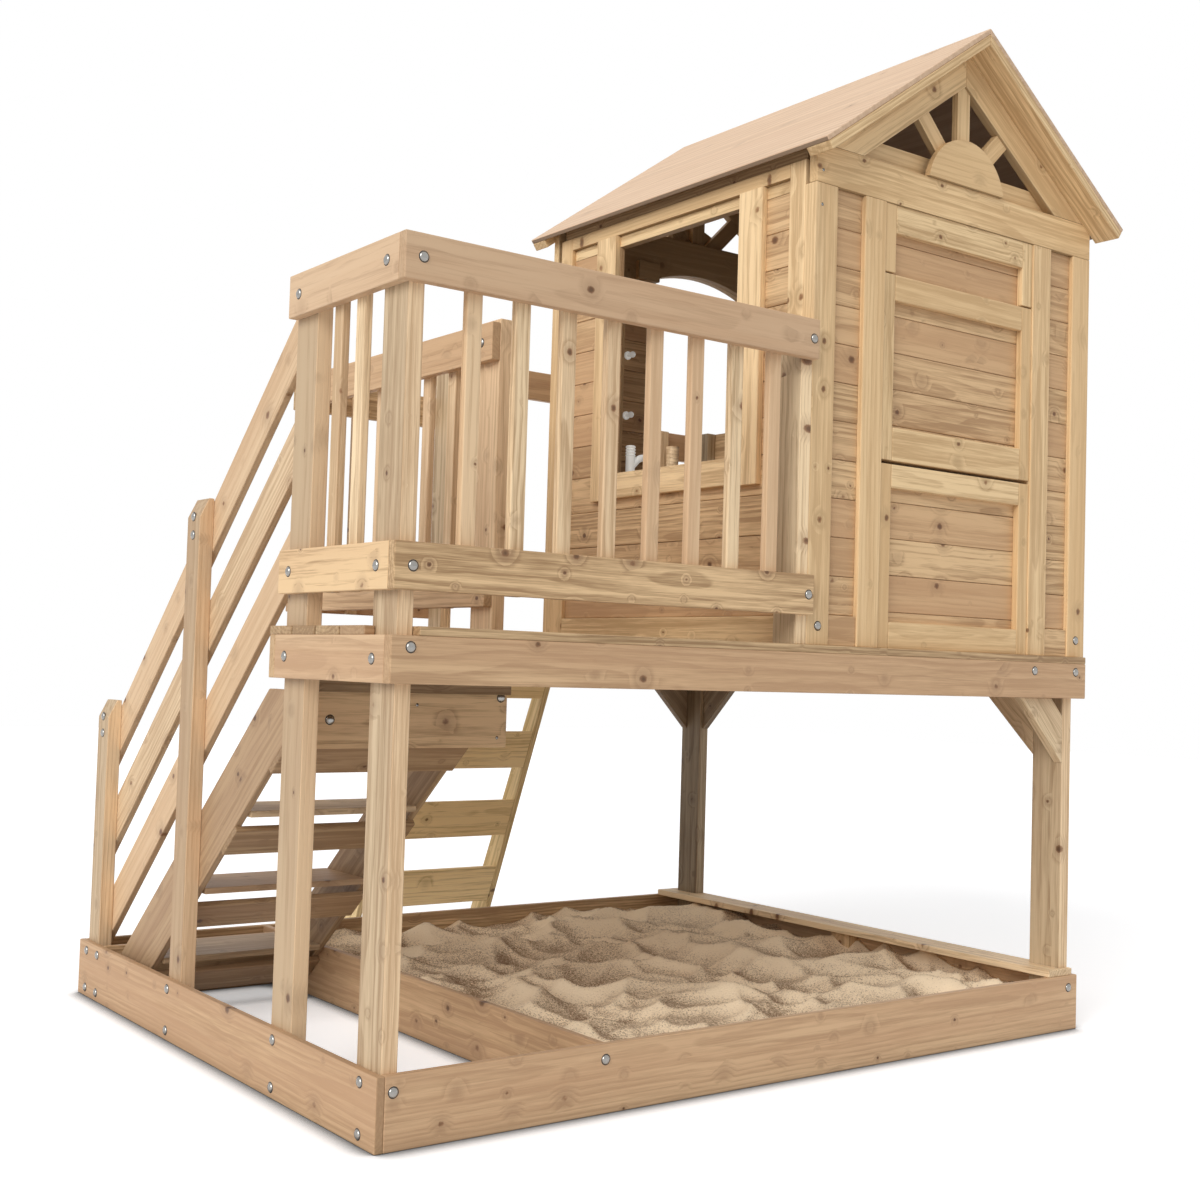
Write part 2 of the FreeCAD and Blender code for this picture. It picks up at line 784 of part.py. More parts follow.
# The sheets' pitch, with their undersides just clear of the band's top corners
clear_rise = peak_rise - shadow_gap
half_wide = house_wide / 2
pitch_over = clear_rise * half_wide - roof_thick * root(clear_rise * clear_rise + half_wide * half_wide
                                                        - roof_thick * roof_thick)
pitch = pitch_over / (half_wide * half_wide - roof_thick * roof_thick)
pitch_stretch = root(1 + pitch * pitch)
sheet_tall = roof_thick * pitch_stretch
rafter_tall = rafter_wide * pitch_stretch
rafter_ridge = roof_apex - sheet_tall
gable_peak = rafter_ridge - rafter_tall


def doorway_arch():
    """The doorway's arched head, as the space cut out of the rear gable band and its batten."""
    crown = deck_top + arch_spring + arch_rise
    half = door_wide / 2
    radius = (half * half + arch_rise * arch_rise) / (2 * arch_rise)
    y = (house_back - 2 * band_thick - batten_thick, house_back + band_thick)
    disc = cylinder("arch_disc", radius, y[1] - y[0], house_mid, y[1], crown - radius,
                    Rotation(Vector(1, 0, 0), 90))
    way = box("arch_way", (door_left, door_right), y, (wall_top - band_high, wall_top + band_high))
    space = doc.addObject("Part::Common", "arch_space")
    space.Base = disc
    space.Tool = way
    return space


def make_house_frame():
    high = (deck_top, wall_top)
    posts = []
    for label, y in (("front", frame_front), ("rear", frame_rear)):
        posts.append(box(f"{label}_corner_left", span(house_left, house_post), y, high))
        posts.append(box(f"{label}_batten_left", span(batten_left, house_post), y, high))
        posts.append(box(f"{label}_batten_right", (batten_right - house_post, batten_right), y, high))
        posts.append(box(f"{label}_corner_right", (house_right - house_post, house_right), y, high))
    side_high = (deck_top, side_top + plate_high)
    for label, x in (("left", frame_left), ("right", frame_right)):
        posts.append(box(f"{label}_stud_near", x, span(stud_near, stud_wide), side_high))
        posts.append(box(f"{label}_stud_far", x, (stud_far - stud_wide, stud_far), side_high))
    node("house_posts", posts)
    long_x = (house_left, house_right)
    band = span(wall_top, band_high)
    arch = doorway_arch()
    band_rear = box("band_rear_board", long_x, (house_back - band_thick, house_back), band)
    node("gable_bands", [box("band_front", long_x, span(house_front, band_thick), band),
                         cut("band_rear", band_rear, arch)])
    side_y = (stud_near + stud_wide, stud_far - stud_wide)
    plates = []
    batten_half = (rafter_ridge - band_top - batten_over) / pitch - shadow_gap
    inner_x = (house_mid - batten_half, house_mid + batten_half)
    front_y = span(house_front + band_thick, batten_thick)
    rear_y = (house_back - band_thick - batten_thick, house_back - band_thick)
    batten_z = span(wall_top, band_high + batten_over)
    plates.append(box("front_gable_batten", inner_x, front_y, batten_z))
    plates.append(cut("rear_gable_batten", box("rear_gable_board", inner_x, rear_y, batten_z), arch))
    plates.append(box("door_cleat", (door_left - cleat_long - shadow_gap, door_left - shadow_gap),
                      (rear_y[0] - batten_thick, rear_y[0]), span(wall_top, cleat_high)))
    for label, x, lintel_x in (("left", frame_left, (clad_left, frame_left[1])),
                               ("right", frame_right, (frame_right[0], clad_right))):
        plates.append(box(f"{label}_plate", x, side_y, span(side_top, plate_high)))
        plates.append(box(f"{label}_lintel", lintel_x, side_y, (side_top - lintel_high, side_top)))
        plates.append(box(f"{label}_foot_band", x, side_y, span(deck_top, foot_band_high)))
    node("house_plates", plates)


def make_front_cladding():
    side_y = span(clad_front, clad_thick)
    block_y = (house_front + panel_frame_back, clad_front + clad_thick)
    low = deck_top + block_high
    boards = []
    for label, x in (("left", (house_left + house_post, batten_left)),
                     ("right", (batten_right, house_right - house_post))):
        boards += boards_up(f"front_strip_{label}", low, wall_top,
                            lambda name, z, x=x: box(name, x, side_y, z))
        boards.append(box(f"front_block_{label}", x, block_y, (deck_top, low - shadow_gap)))
    node("front_cladding", boards)


def make_front_panels():
    """Three framed panels between the battens, one above the other; the lowest has a gap over it."""
    left = batten_left + house_post
    right = batten_right - house_post
    front = house_front + panel_frame_back
    frame_y = span(front, panel_frame_thick)
    board_y = span(front + panel_frame_thick, panel_board_thick)
    inner = (left + stile_wide, right - stile_wide)
    low_top = deck_top + low_panel_high
    mid_low = low_top + panel_gap
    mid_top = mid_low + mid_panel_high
    top_low = mid_top + stile_joint
    pieces = []
    for label, low, high in (("low", deck_top, low_top), ("mid", mid_low, mid_top), ("top", top_low, wall_top)):
        pieces.append(box(f"stile_{label}_left", span(left, stile_wide), frame_y, (low, high)))
        pieces.append(box(f"stile_{label}_right", (right - stile_wide, right), frame_y, (low, high)))
    for label, low, high in (("low_foot", deck_top, deck_top + low_rail_bottom),
                             ("low_head", low_top - low_rail_top, low_top),
                             ("mid_foot", mid_low, mid_low + mid_rail_bottom),
                             ("mid_head", mid_top - mid_rail_top, mid_top),
                             ("top_head", wall_top - top_rail_wide, wall_top)):
        pieces.append(box(f"panel_rail_{label}", inner, frame_y, (low, high)))
    node("front_panel_frames", pieces)
    wide = (left, right)
    boards = boards_up("low_panel_board", deck_top, low_top, lambda name, z: box(name, wide, board_y, z))
    boards += boards_up("high_panel_board", mid_low, wall_top, lambda name, z: box(name, wide, board_y, z))
    node("front_panel_boards", boards)


window_low = deck_top + sill_low + sill_high
window_high = side_top - lintel_high
window_far = house_back - window_far_edge


def make_side_walls():
    """Cladding with one window in each side wall, its trims lying on the cladding."""
    near = stud_near + stud_wide
    far = stud_far - stud_wide
    low = deck_top + foot_band_high + shadow_gap
    boards = []
    trims = []
    for label, x, trim_x in (("left", span(clad_left, clad_thick), (clad_left - trim_thick, clad_left)),
                             ("right", (clad_right - clad_thick, clad_right),
                              (clad_right, clad_right + trim_thick))):
        boards += boards_up(f"{label}_low_board", low, window_low,
                            lambda name, z, x=x: box(name, x, (near, far), z))
        for end, y in (("near", (near, window_near)), ("far", (window_far, far))):
            boards += boards_up(f"{label}_{end}_board", window_low + shadow_gap, window_high,
                                lambda name, z, x=x, y=y: box(name, x, y, z))
        trim_low = deck_top + sill_low - trim_drop
        for end, y in (("near", (window_near - trim_wide, window_near)),
                       ("far", span(window_far, trim_wide))):
            trims.append(box(f"{label}_trim_{end}", trim_x, y, (trim_low, side_top)))
        trims.append(box(f"{label}_sill", trim_x, (window_near, window_far), span(deck_top + sill_low, sill_high)))
    node("side_cladding", boards)
    node("window_trims", trims)


def make_back_wall():
    """Back wall with a doorway between two clad panels."""
    y = (clad_rear - clad_thick, clad_rear)
    boards = []
    for label, x in (("left", (house_left + house_post, batten_left)),
                     ("right", (batten_right, house_right - house_post)),
                     ("door_left", (batten_left + house_post, door_left)),
                     ("door_right", (door_right, batten_right - house_post))):
        boards += boards_up(f"back_{label}", deck_top, wall_top,
                            lambda name, z, x=x: box(name, x, y, z))
    node("back_cladding", boards)


def slanted(name, side, drop, tall, y, far):
    """A sloping board under the roof on one side of the ridge, its foot cut square; side is -1 or 1."""
    end = house_mid + far * side
    ridge = roof_apex - drop
    foot = ridge - pitch * far
    square = tall / (1 + pitch * pitch)
    points = [
        (house_mid, ridge),
        (end, foot),
        (end - square * pitch * side, foot - square),
        (house_mid, ridge - tall),
    ]
    return outline(name, "XZ_Plane", points, y[0], y[1])



def rafter(name, side, y):
    """A gable rafter standing on the band, cut level at its foot."""
    outer = (rafter_ridge - band_top) / pitch
    inner = (gable_peak - band_top) / pitch
    points = [
        (house_mid, rafter_ridge),
        (house_mid + outer * side, band_top),
        (house_mid + inner * side, band_top),
        (house_mid, gable_peak),
    ]
    return outline(name, "XZ_Plane", points, y[0], y[1])


def make_roof():
    whole = (roof_near, roof_far)
    sides = ((-1, "left"), (1, "right"))
    node("roof_sheets", [slanted(f"roof_sheet_{label}", side, size_of(0), sheet_tall, whole, roof_half)
                         for side, label in sides])
    barge_half = roof_half - sheet_tall * pitch / (1 + pitch * pitch)
    barge_tall = barge_thick * pitch_stretch
    node("barge_boards", [slanted(f"barge_{end}_{label}", side, sheet_tall, barge_tall, edge, barge_half)
                          for end, edge in (("front", (roof_near, house_front)), ("rear", (house_back, roof_far)))
                          for side, label in sides])
    front_y = span(house_front, rafter_thick)
    rear_y = (house_back - rafter_thick, house_back)
    frame = []
    for side, label in sides:
        frame.append(rafter(f"rafter_front_{label}", side, front_y))
        frame.append(rafter(f"rafter_rear_{label}", side, rear_y))
    ridge_top = rafter_ridge - pitch * ridge_thick / 2
    half = ridge_thick / 2
    frame.append(box("ridge_board", (house_mid - half, house_mid + half), (front_y[1], rear_y[0]),
                     (ridge_top - ridge_high, ridge_top)))
    node("roof_rafters", frame)


def sun(label, ray_y, plate_y):
    """Three rays and a half-round plate that fill a gable's triangle."""
    half = ray_wide / 2
    skew = ray_wide * math.sqrt(0.5)
    low = band_top
    open_high = gable_peak - low
    upright = [
        (house_mid - half, low),
        (house_mid + half, low),
        (house_mid + half, gable_peak - pitch * half),
        (house_mid, gable_peak),
        (house_mid - half, gable_peak - pitch * half),
    ]
    pieces = [outline(f"ray_upright_{label}", "XZ_Plane", upright, ray_y[0], ray_y[1])]
    outer = (open_high + skew) / (1 + pitch)
    inner = (open_high - skew) / (1 + pitch)
    for side, name in ((-1, "left"), (1, "right")):
        ray = [
            (house_mid + half * side, low),
            (house_mid + skew * side, low),
            (house_mid + outer * side, low + outer - skew),
            (house_mid + inner * side, low + inner + skew),
            (house_mid + half * side, low + half + skew),
        ]
        pieces.append(outline(f"ray_{name}_{label}", "XZ_Plane", ray, ray_y[0], ray_y[1]))
    radius = (sun_half * sun_half + sun_high * sun_high) / (2 * sun_high)
    disc = cylinder(f"sun_disc_{label}", radius, sun_thick, house_mid, plate_y[1], low + sun_high - radius,
                    Rotation(Vector(1, 0, 0), 90))
    frame = box(f"sun_frame_{label}", (house_mid - sun_half, house_mid + sun_half), plate_y, span(low, sun_high))
    plate = doc.addObject("Part::Common", f"sun_plate_{label}")
    plate.Base = disc
    plate.Tool = frame
    pieces.append(plate)
    return pieces


def make_suns():
    front_in = house_front + rafter_thick
    rear_in = house_back - rafter_thick
    front_face = front_in - ray_thick
    rear_face = rear_in + ray_thick
    front = sun("front", (front_face, front_in), (front_face - sun_thick, front_face))
    rear = sun("rear", (rear_in, rear_face), span(rear_face, sun_thick))
    node("gable_sunbursts", front + rear)


bench_left = house_left + post_wide
bench_back = house_back - post_wide
bench_top = deck_top + bench_height
tap_x = bench_left + tap_from_side
tap_y = bench_back - tap_from_wall
spout_turn = Rotation(Vector(1, 0, 0), 90)


def make_bench():
    """A shelf in the far left corner with a hole for the sink, on two legs along its open edge."""
    right = bench_left + bench_long
    front = bench_back - bench_deep
    under = bench_top - bench_thick
    slab = box("bench_slab", (bench_left, right), (front, bench_back), (under, bench_top))
    hole = box("bench_hole", (sink_x[0] - fit_gap, sink_x[1] + fit_gap), (sink_y[0] - fit_gap, sink_y[1] + fit_gap),
               (under - bench_thick, bench_top + bench_thick))
    legs = [
        box("bench_leg_front", (right - post_wide, right), span(front, post_wide), (deck_top, under)),
        box("bench_leg_side", span(bench_left, post_wide), span(front, post_wide), (deck_top, under)),
    ]
    node("kitchen_bench", [cut("bench_top", slab, hole)] + legs)


sink_left = tap_x + tap_flange + sink_rim + fit_gap
sink_x = span(sink_left, sink_long)
sink_y = (tap_y - sink_deep / 2, tap_y + sink_deep / 2)


def make_sink():
    """An open basin that hangs in the bench by its rim."""
    bowl = box("sink_bowl", sink_x, sink_y, (bench_top - sink_high, bench_top))
    rim = box("sink_lip", (sink_x[0] - sink_rim, sink_x[1] + sink_rim), (sink_y[0] - sink_rim, sink_y[1] + sink_rim),
              span(bench_top, sink_wall))
    hollow = box("sink_hollow", (sink_x[0] + sink_wall, sink_x[1] - sink_wall),
                 (sink_y[0] + sink_wall, sink_y[1] - sink_wall), (bench_top - sink_high + sink_wall, bench_top + sink_high))
    node("kitchen_sink", [cut("sink", fuse("sink_shell", [bowl, rim]), hollow)])


def make_tap():
    """A toy tap: a fixed column, a spout that swings round its stem and a ribbed knob that turns on it."""
    flange_top = bench_top + tap_flange_high
    column_top = flange_top + tap_column_high
    collar_low = column_top + running_gap
    collar_top = collar_low + spout_collar_high
    knob_low = collar_top + running_gap
    stem_high = spout_collar_high + running_gap * 2 + knob_high / 2
    node("tap_column", [fuse("tap_fixed", [
        cylinder("tap_foot", tap_flange, tap_flange_high, tap_x, tap_y, bench_top),
        cylinder("tap_tube", tap_radius, tap_column_high, tap_x, tap_y, flange_top),
        cylinder("tap_stem", tap_stem, stem_high, tap_x, tap_y, column_top),
    ])])
    bore = tap_stem + running_gap
    neck_z = collar_low + neck_low
    bend = spout_reach * math.sqrt(0.5)
    arch_x = tap_x + neck_run + bend
    arch_z = neck_z + neck_run - bend
    arch = doc.addObject("Part::Torus", "spout_arch")
    bind(arch, "Radius1", spout_reach)
    bind(arch, "Radius2", spout_radius)
    arch.Angle3 = 135
    arch.Placement.Rotation = spout_turn
    place(arch, arch_x, tap_y, arch_z)
    leaning = Rotation(Vector(0, 1, 0), 45)
    spout = fuse("spout_solid", [
        cylinder("spout_collar", spout_collar_radius, spout_collar_high, tap_x, tap_y, collar_low),
        cylinder("spout_neck", spout_radius, neck_run * math.sqrt(2), tap_x, tap_y, neck_z, leaning),
        arch,
        cylinder("spout_mouth", spout_radius, spout_drop, arch_x + spout_reach, tap_y, arch_z - spout_drop),
    ])
    spout_bore = cylinder("spout_bore", bore, 3 * spout_collar_high, tap_x, tap_y, collar_low - spout_collar_high)
    node("tap_spout", [cut("spout", spout, spout_bore)])
    ribs = [cylinder("knob_core", tap_radius - knob_rib, knob_high, tap_x, tap_y, knob_low)]
    rib_step = knob_high / knob_ribs
    for index in range(knob_ribs):
        rib = doc.addObject("Part::Torus", f"knob_rib_{index}")
        bind(rib, "Radius1", tap_radius - knob_rib)
        bind(rib, "Radius2", knob_rib)
        place(rib, tap_x, tap_y, knob_low + rib_step / 2 + rib_step * index)
        ribs.append(rib)
    knob_bore = cylinder("knob_bore", bore, knob_high / 2 + 2 * running_gap, tap_x, tap_y, knob_low - running_gap)
    node("tap_knob", [cut("knob", fuse("knob_solid", ribs), knob_bore)])


def make_hooks():
    """Two rounded coat pegs on the back wall, beside the doorway."""
    turn = Rotation(Vector(1, 0, 0), 90)
    face = clad_rear - clad_thick
    x = batten_left + house_post + hook_from_post
    hooks = []
    for label, height in (("low", hook_low), ("high", hook_high)):
        z = deck_top + height
        ball = doc.addObject("Part::Sphere", f"hook_ball_{label}")
        bind(ball, "Radius", hook_radius * hook_ball_share)
        place(ball, x, face - hook_reach, z)
        hooks.append(fuse(f"hook_{label}", [
            cylinder(f"hook_plate_{label}", hook_radius, hook_plate, x, face, z, turn),
            cylinder(f"hook_arm_{label}", hook_radius / 2, hook_reach, x, face, z, turn),
            ball,
        ]))
    node("wall_hooks", hooks)


def make_peg():
    front = bench_back - bench_deep
    peg = doc.addObject("Part::Cone", "peg")
    bind(peg, "Radius1", peg_foot)
    bind(peg, "Radius2", peg_head)
    bind(peg, "Height", peg_high)
    place(peg, bench_left + peg_from_side, front + peg_from_front, bench_top)
    node("bench_peg", [peg])


dome_radius = (bolt_radius * bolt_radius + bolt_high * bolt_high) / (2 * bolt_high)
dome_lift = dome_radius - bolt_high
faces = {
    "left": (Rotation(Vector(0, 1, 0), -90), Vector(1, 0, 0)),
    "right": (Rotation(Vector(0, 1, 0), 90), Vector(-1, 0, 0)),
    "front": (Rotation(Vector(1, 0, 0), 90), Vector(0, 1, 0)),
    "back": (Rotation(Vector(1, 0, 0), -90), Vector(0, -1, 0)),
}


def bolt(name, face, x, y, z):
    """A carriage bolt's domed head, lying on a face at a place."""
    turn, inward = faces[face]
    head = doc.addObject("Part::Sphere", name)
    bind(head, "Radius", dome_radius)
    head.setExpression("Angle1", f"asin({(dome_lift / dome_radius).text})")
    head.Placement.Rotation = turn
    place(head, x + dome_lift * inward.x, y + dome_lift * inward.y, z)
    return head


def make_bolts():
    left_posts = (base_thick + post_deep / 2, stair_post_at + post_deep / 2)
    high_row = base_high - bolt_edge
    places = []
    for y in left_posts + (newel_high_at + newel_deep / 2, newel_low_at + newel_deep / 2,
                           end_board_at + base_thick / 2):
        places += [("left", size_of(0), y, high_row), ("left", size_of(0), y, bolt_edge)]
    left_x = base_thick + post_wide / 2
    right_x = base_right - post_wide / 2
    front_row = high_row - bolt_radius
    for x in (left_x, divider_at + base_thick / 2, right_x):
        places.append(("front", x, size_of(0), front_row))
        places.append(("back", x, base_deep, front_row))
    back_y = deck_back - post_deep / 2
    for y in (base_thick + post_deep / 2, back_y):
        places += [("right", base_long, y, high_row), ("right", base_long, y, bolt_edge)]
    beam_mid = deck_low + beam_high / 2
    beam_row = deck_under - bolt_edge
    for y in left_posts:
        places.append(("left", beam_out, y, beam_mid))
    for x in (left_x, base_right - post_wide / 2 - front_brace_leg, right_x):
        places.append(("front", x, beam_out, beam_row))
    for x in (well_at + post_wide / 2, ladder_left + post_wide / 2, ladder_right - post_wide / 2, right_x):
        places.append(("back", x, beam_back, beam_row))
    for y in (base_thick + post_deep / 2, back_y):
        places.append(("right", beam_right, y, beam_row))
    low_mid = low_rail_low + rail_high / 2
    top_mid = top_rail_low + rail_high / 2
    end_x = house_left - post_wide / 2
    for z in (low_mid, top_mid):
        for y in left_posts:
            places.append(("left", rail_out, y, z))
        for y in (header_far + post_deep / 2, back_y):
            places.append(("left", well_at - rail_thick, y, z))
        for x in (left_x, end_x):
            places.append(("front", x, rail_out, z))
        for x in (well_at + post_wide / 2, ladder_left + post_wide / 2, ladder_right - post_wide / 2, right_x):
            places.append(("back", x, rail_back, z))
        places.append(("right", rail_right, back_y, z))
    for y, top in ((newel_high_at, newel_high_top), (newel_low_at, newel_low_top)):
        for step in (2, 4):
            places.append(("left", base_thick, y + newel_deep / 2, top - bolt_edge * step))
    places.append(("front", post_in + 4 * bolt_edge, landing_deep, header_low + header_high / 2))
    places.append(("front", well_at + post_wide / 2, landing_deep, header_top - bolt_radius))
    for x in (house_left + house_post / 2, house_right - house_post / 2):
        places.append(("front", x, house_front, deck_top + 2 * bolt_edge))
    grab_mid = (grab_low + ladder_post_top) / 2
    for x in (ladder_left + post_wide / 2, ladder_right - post_wide / 2):
        places.append(("back", x, rail_back, grab_mid))
    node("carriage_bolts", [bolt(f"bolt_{index}", *spot) for index, spot in enumerate(places)])


for make in (make_base, make_seat, make_sand, make_posts, make_braces, make_beams, make_deck, make_stair,
             make_handrails, make_railings, make_ladder, make_house_frame, make_front_cladding,
             make_front_panels, make_side_walls, make_back_wall, make_roof, make_suns, make_bench, make_sink,
             make_tap, make_hooks, make_peg, make_bolts):
    make()
doc.recompute()


def problems():
    """Objects that failed, and sub-parts whose shape is missing or broken."""
    bad = [thing.Name for thing in doc.Objects if set(thing.State) & {"Invalid", "Error"}]
    for name, piece in nodes.items():
        if piece.Shape.isNull() or not piece.Shape.isValid():
            bad.append(name)
    return bad


failed = problems()
if failed:
    raise RuntimeError(f"not built: {failed}")

# The origin goes to the middle of the footprint
bounds = FreeCAD.BoundBox()
for piece in nodes.values():
    bounds.add(piece.Shape.optimalBoundingBox(True, False))
for alias, low, high in (("origin_x", bounds.XMin, bounds.XMax), ("origin_y", bounds.YMin, bounds.YMax)):
    sheet.set(sheet.getCellFromAlias(alias), str((low + high) / 2))
doc.recompute()
failed = problems()
if failed:
    raise RuntimeError(f"not placed: {failed}")

os.makedirs("parts", exist_ok=True)
for name, piece in nodes.items():
    piece.Shape.exportStep(f"parts/{name}.step")
print(f"{len(nodes)} nodes, {sum(len(piece.Shape.Solids) for piece in nodes.values())} solids")
print("size", bounds.XLength, bounds.YLength, bounds.ZLength)
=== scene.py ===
import json
import math
import random
import bmesh
import bpy
from mathutils import Matrix, Vector, noise


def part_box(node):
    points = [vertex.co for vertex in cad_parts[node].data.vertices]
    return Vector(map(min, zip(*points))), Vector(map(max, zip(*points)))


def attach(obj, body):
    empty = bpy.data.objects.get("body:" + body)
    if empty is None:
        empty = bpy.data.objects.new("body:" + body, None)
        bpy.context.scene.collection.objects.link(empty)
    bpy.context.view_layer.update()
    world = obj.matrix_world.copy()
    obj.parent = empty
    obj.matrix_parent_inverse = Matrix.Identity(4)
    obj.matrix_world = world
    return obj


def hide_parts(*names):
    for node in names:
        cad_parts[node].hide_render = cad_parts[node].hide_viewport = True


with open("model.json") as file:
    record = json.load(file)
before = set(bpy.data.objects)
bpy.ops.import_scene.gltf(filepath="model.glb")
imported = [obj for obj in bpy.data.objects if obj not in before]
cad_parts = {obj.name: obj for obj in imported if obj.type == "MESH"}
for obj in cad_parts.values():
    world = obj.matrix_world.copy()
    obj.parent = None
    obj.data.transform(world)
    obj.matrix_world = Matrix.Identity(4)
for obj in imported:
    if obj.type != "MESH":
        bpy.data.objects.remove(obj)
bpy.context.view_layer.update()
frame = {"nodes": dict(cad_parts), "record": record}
nodes = frame["nodes"]
bodyOf = {node: body for body, members in frame["record"]["behaviour"]["bodies"].items() for node in members}
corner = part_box("base_left")[0]  # near left corner of the base frame, on the ground


def at(x, y, z):
    return corner + Vector((x, y, z)) / 1000  # millimetres from that corner


print("frame loaded:", len(nodes), "pieces")


# shader tools
class Wire:
    # one socket of a node tree; sums on it add Math nodes
    def __init__(self, tree, socket):
        self.tree = tree
        self.socket = socket

    def node(self, kind, settings=None, inputs=None, output=0):
        made = self.tree.nodes.new(kind)
        for key, value in (settings or {}).items():
            setattr(made, key, value)
        for key, value in (inputs or {}).items():
            if isinstance(value, Wire):
                self.tree.links.new(value.socket, made.inputs[key])
            else:
                made.inputs[key].default_value = value
        return Wire(self.tree, made.outputs[output])

    def maths(self, operation, a, b=0.0):
        return self.node("ShaderNodeMath", {"operation": operation}, {0: a, 1: b})

    def __add__(self, other):
        return self.maths("ADD", self, other)

    __radd__ = __add__

    def __sub__(self, other):
        return self.maths("SUBTRACT", self, other)

    def __rsub__(self, other):
        return self.maths("SUBTRACT", other, self)

    def __mul__(self, other):
        return self.maths("MULTIPLY", self, other)

    __rmul__ = __mul__

    def __truediv__(self, other):
        return self.maths("DIVIDE", self, other)

    def __rtruediv__(self, other):
        return self.maths("DIVIDE", other, self)

    def clamp(self):
        return self.node("ShaderNodeClamp", None, {0: self})

    def smooth(self, low, high):
        # 0 below low, 1 above high, or the other way round where low is the larger
        return self.node("ShaderNodeMapRange", {"interpolation_type": "SMOOTHSTEP"}, {0: self, 1: low, 2: high})

    def stretch(self, factors):
        return self.node("ShaderNodeVectorMath", {"operation": "MULTIPLY"}, {0: self, 1: factors})

    def split(self):
        parts = self.tree.nodes.new("ShaderNodeSeparateXYZ")
        self.tree.links.new(self.socket, parts.inputs[0])
        return [Wire(self.tree, out) for out in parts.outputs]

    def join(self, x, y, z):
        return self.node("ShaderNodeCombineXYZ", None, {0: x, 1: y, 2: z})

    def cloud(self, vector, scale, detail=2.0, roughness=0.5):
        return self.node("ShaderNodeTexNoise", None,
                         {"Vector": vector, "Scale": scale, "Detail": detail, "Roughness": roughness})

    def tint(self, factor, a, b):
        # from colour a to colour b
        return self.node("ShaderNodeMix", {"data_type": "RGBA"},
                         {0: factor, 6: a if isinstance(a, Wire) else (*a, 1),
                          7: b if isinstance(b, Wire) else (*b, 1)}, 2)

    def stored(self, name, output=2):
        # an attribute of the mesh: output 1 is its vector, 2 its number
        return self.node("ShaderNodeAttribute", {"attribute_name": name}, None, output)

    def gather(self, *parts):
        made = self.tree.nodes.new("GeometryNodeJoinGeometry")
        for part in parts:
            self.tree.links.new(part.socket, made.inputs[0])
        return Wire(self.tree, made.outputs[0])

    def bump(self, height, distance, strength=1.0):
        return self.node("ShaderNodeBump", None, {"Height": height, "Distance": distance, "Strength": strength})


def newMaterial(name):
    material = bpy.data.materials.new(name)
    material.use_nodes = True
    shader = material.node_tree.nodes["Principled BSDF"]
    return material, shader, Wire(material.node_tree, None)


def feed(wire, shader, sockets):
    for name, value in sockets.items():
        if isinstance(value, Wire):
            wire.tree.links.new(value.socket, shader.inputs[name])
        else:
            shader.inputs[name].default_value = value


# wood finishes
woodLooks = {
    "fir": {
        "pale": (0.68, 0.475, 0.265), "deep": (0.43, 0.265, 0.13),
        "warm": (0.55, 0.335, 0.19), "knot": (0.15, 0.075, 0.035),
        "knots": 0.55, "ringGap": 0.0085, "rough": 0.55, "slot": "fir"},
    "pale_fir": {
        "pale": (0.83, 0.635, 0.40), "deep": (0.61, 0.41, 0.225),
        "warm": (0.72, 0.475, 0.28), "knot": (0.19, 0.095, 0.045),
        "knots": 0.5, "ringGap": 0.0095, "rough": 0.55, "slot": "fir"},
    "yellow_fir": {
        "pale": (0.79, 0.58, 0.325), "deep": (0.62, 0.405, 0.20),
        "warm": (0.70, 0.465, 0.235), "knot": (0.20, 0.10, 0.04),
        "knots": 0.4, "ringGap": 0.010, "rough": 0.55, "slot": "yellow_fir"},
    "cladding": {
        "pale": (0.69, 0.475, 0.26), "deep": (0.47, 0.285, 0.14),
        "warm": (0.58, 0.35, 0.185), "knot": (0.15, 0.07, 0.03),
        "knots": 0.6, "ringGap": 0.0075, "rough": 0.55, "slot": "cladding"},
    "treated": {
        "pale": (0.80, 0.61, 0.33), "deep": (0.55, 0.385, 0.17),
        "warm": (0.72, 0.50, 0.22), "knot": (0.17, 0.10, 0.04),
        "knots": 0.45, "ringGap": 0.009, "rough": 0.62, "slot": "treated"},
    "roof_ply": {
        "pale": (0.80, 0.60, 0.42), "deep": (0.62, 0.43, 0.28),
        "warm": (0.74, 0.51, 0.34), "knot": (0.30, 0.17, 0.09),
        "knots": 0.12, "ringGap": 0.030, "rough": 0.6, "slot": "roof_ply"},
}
bleached = (0.88, 0.72, 0.53)
# cells and sizes in metres; smooth limits are shares of a knot's own size
knotLook = {"cells": (7.0, 19.0, 19.0), "scatter": 0.85, "long": 0.85, "deep": 0.45, "least": 0.0032, "more": 0.0070,
            "edgeScale": 160.0, "edge": 0.004, "knot": (1.15, 0.75), "core": (0.95, 0.35), "halo": (4.2, 0.8)}
ringLook = {"wander": 0.030, "ripple": 0.004, "roundKnots": 0.012, "rise": (0.25, 0.93), "fall": (0.93, 1.0)}
# how much each pattern darkens the wood, and the darkness they start from
darkening = {"ring": 0.52, "streak": 2.5, "band": 1.1, "tone": 0.9, "pore": 1.5, "start": 0.29}
# brightness of each mixed colour against the one it is taken from
shares = {"pale": 1.11, "deep": 0.86, "bleachedDeep": 0.66, "halo": 0.62, "knot": 1.7, "core": 0.8, "end": 0.75,
          "shade": 0.30}
mixes = {"hue": 0.8, "band": 0.8, "halo": 0.40, "knot": 0.9, "core": 0.9, "end": 0.35}
relief = {"ring": -0.35, "streak": 0.5, "pore": 0.5, "knot": 0.8, "distance": 0.0006, "strength": 0.6}
paleNodes = ("post_front_left", "post_stair", "post_front_right", "post_back_right", "guard_posts", "newel_lower",
             "newel_upper", "railing_posts", "railing_balusters", "handrails", "knee_braces", "seat_plank", "bench_peg")


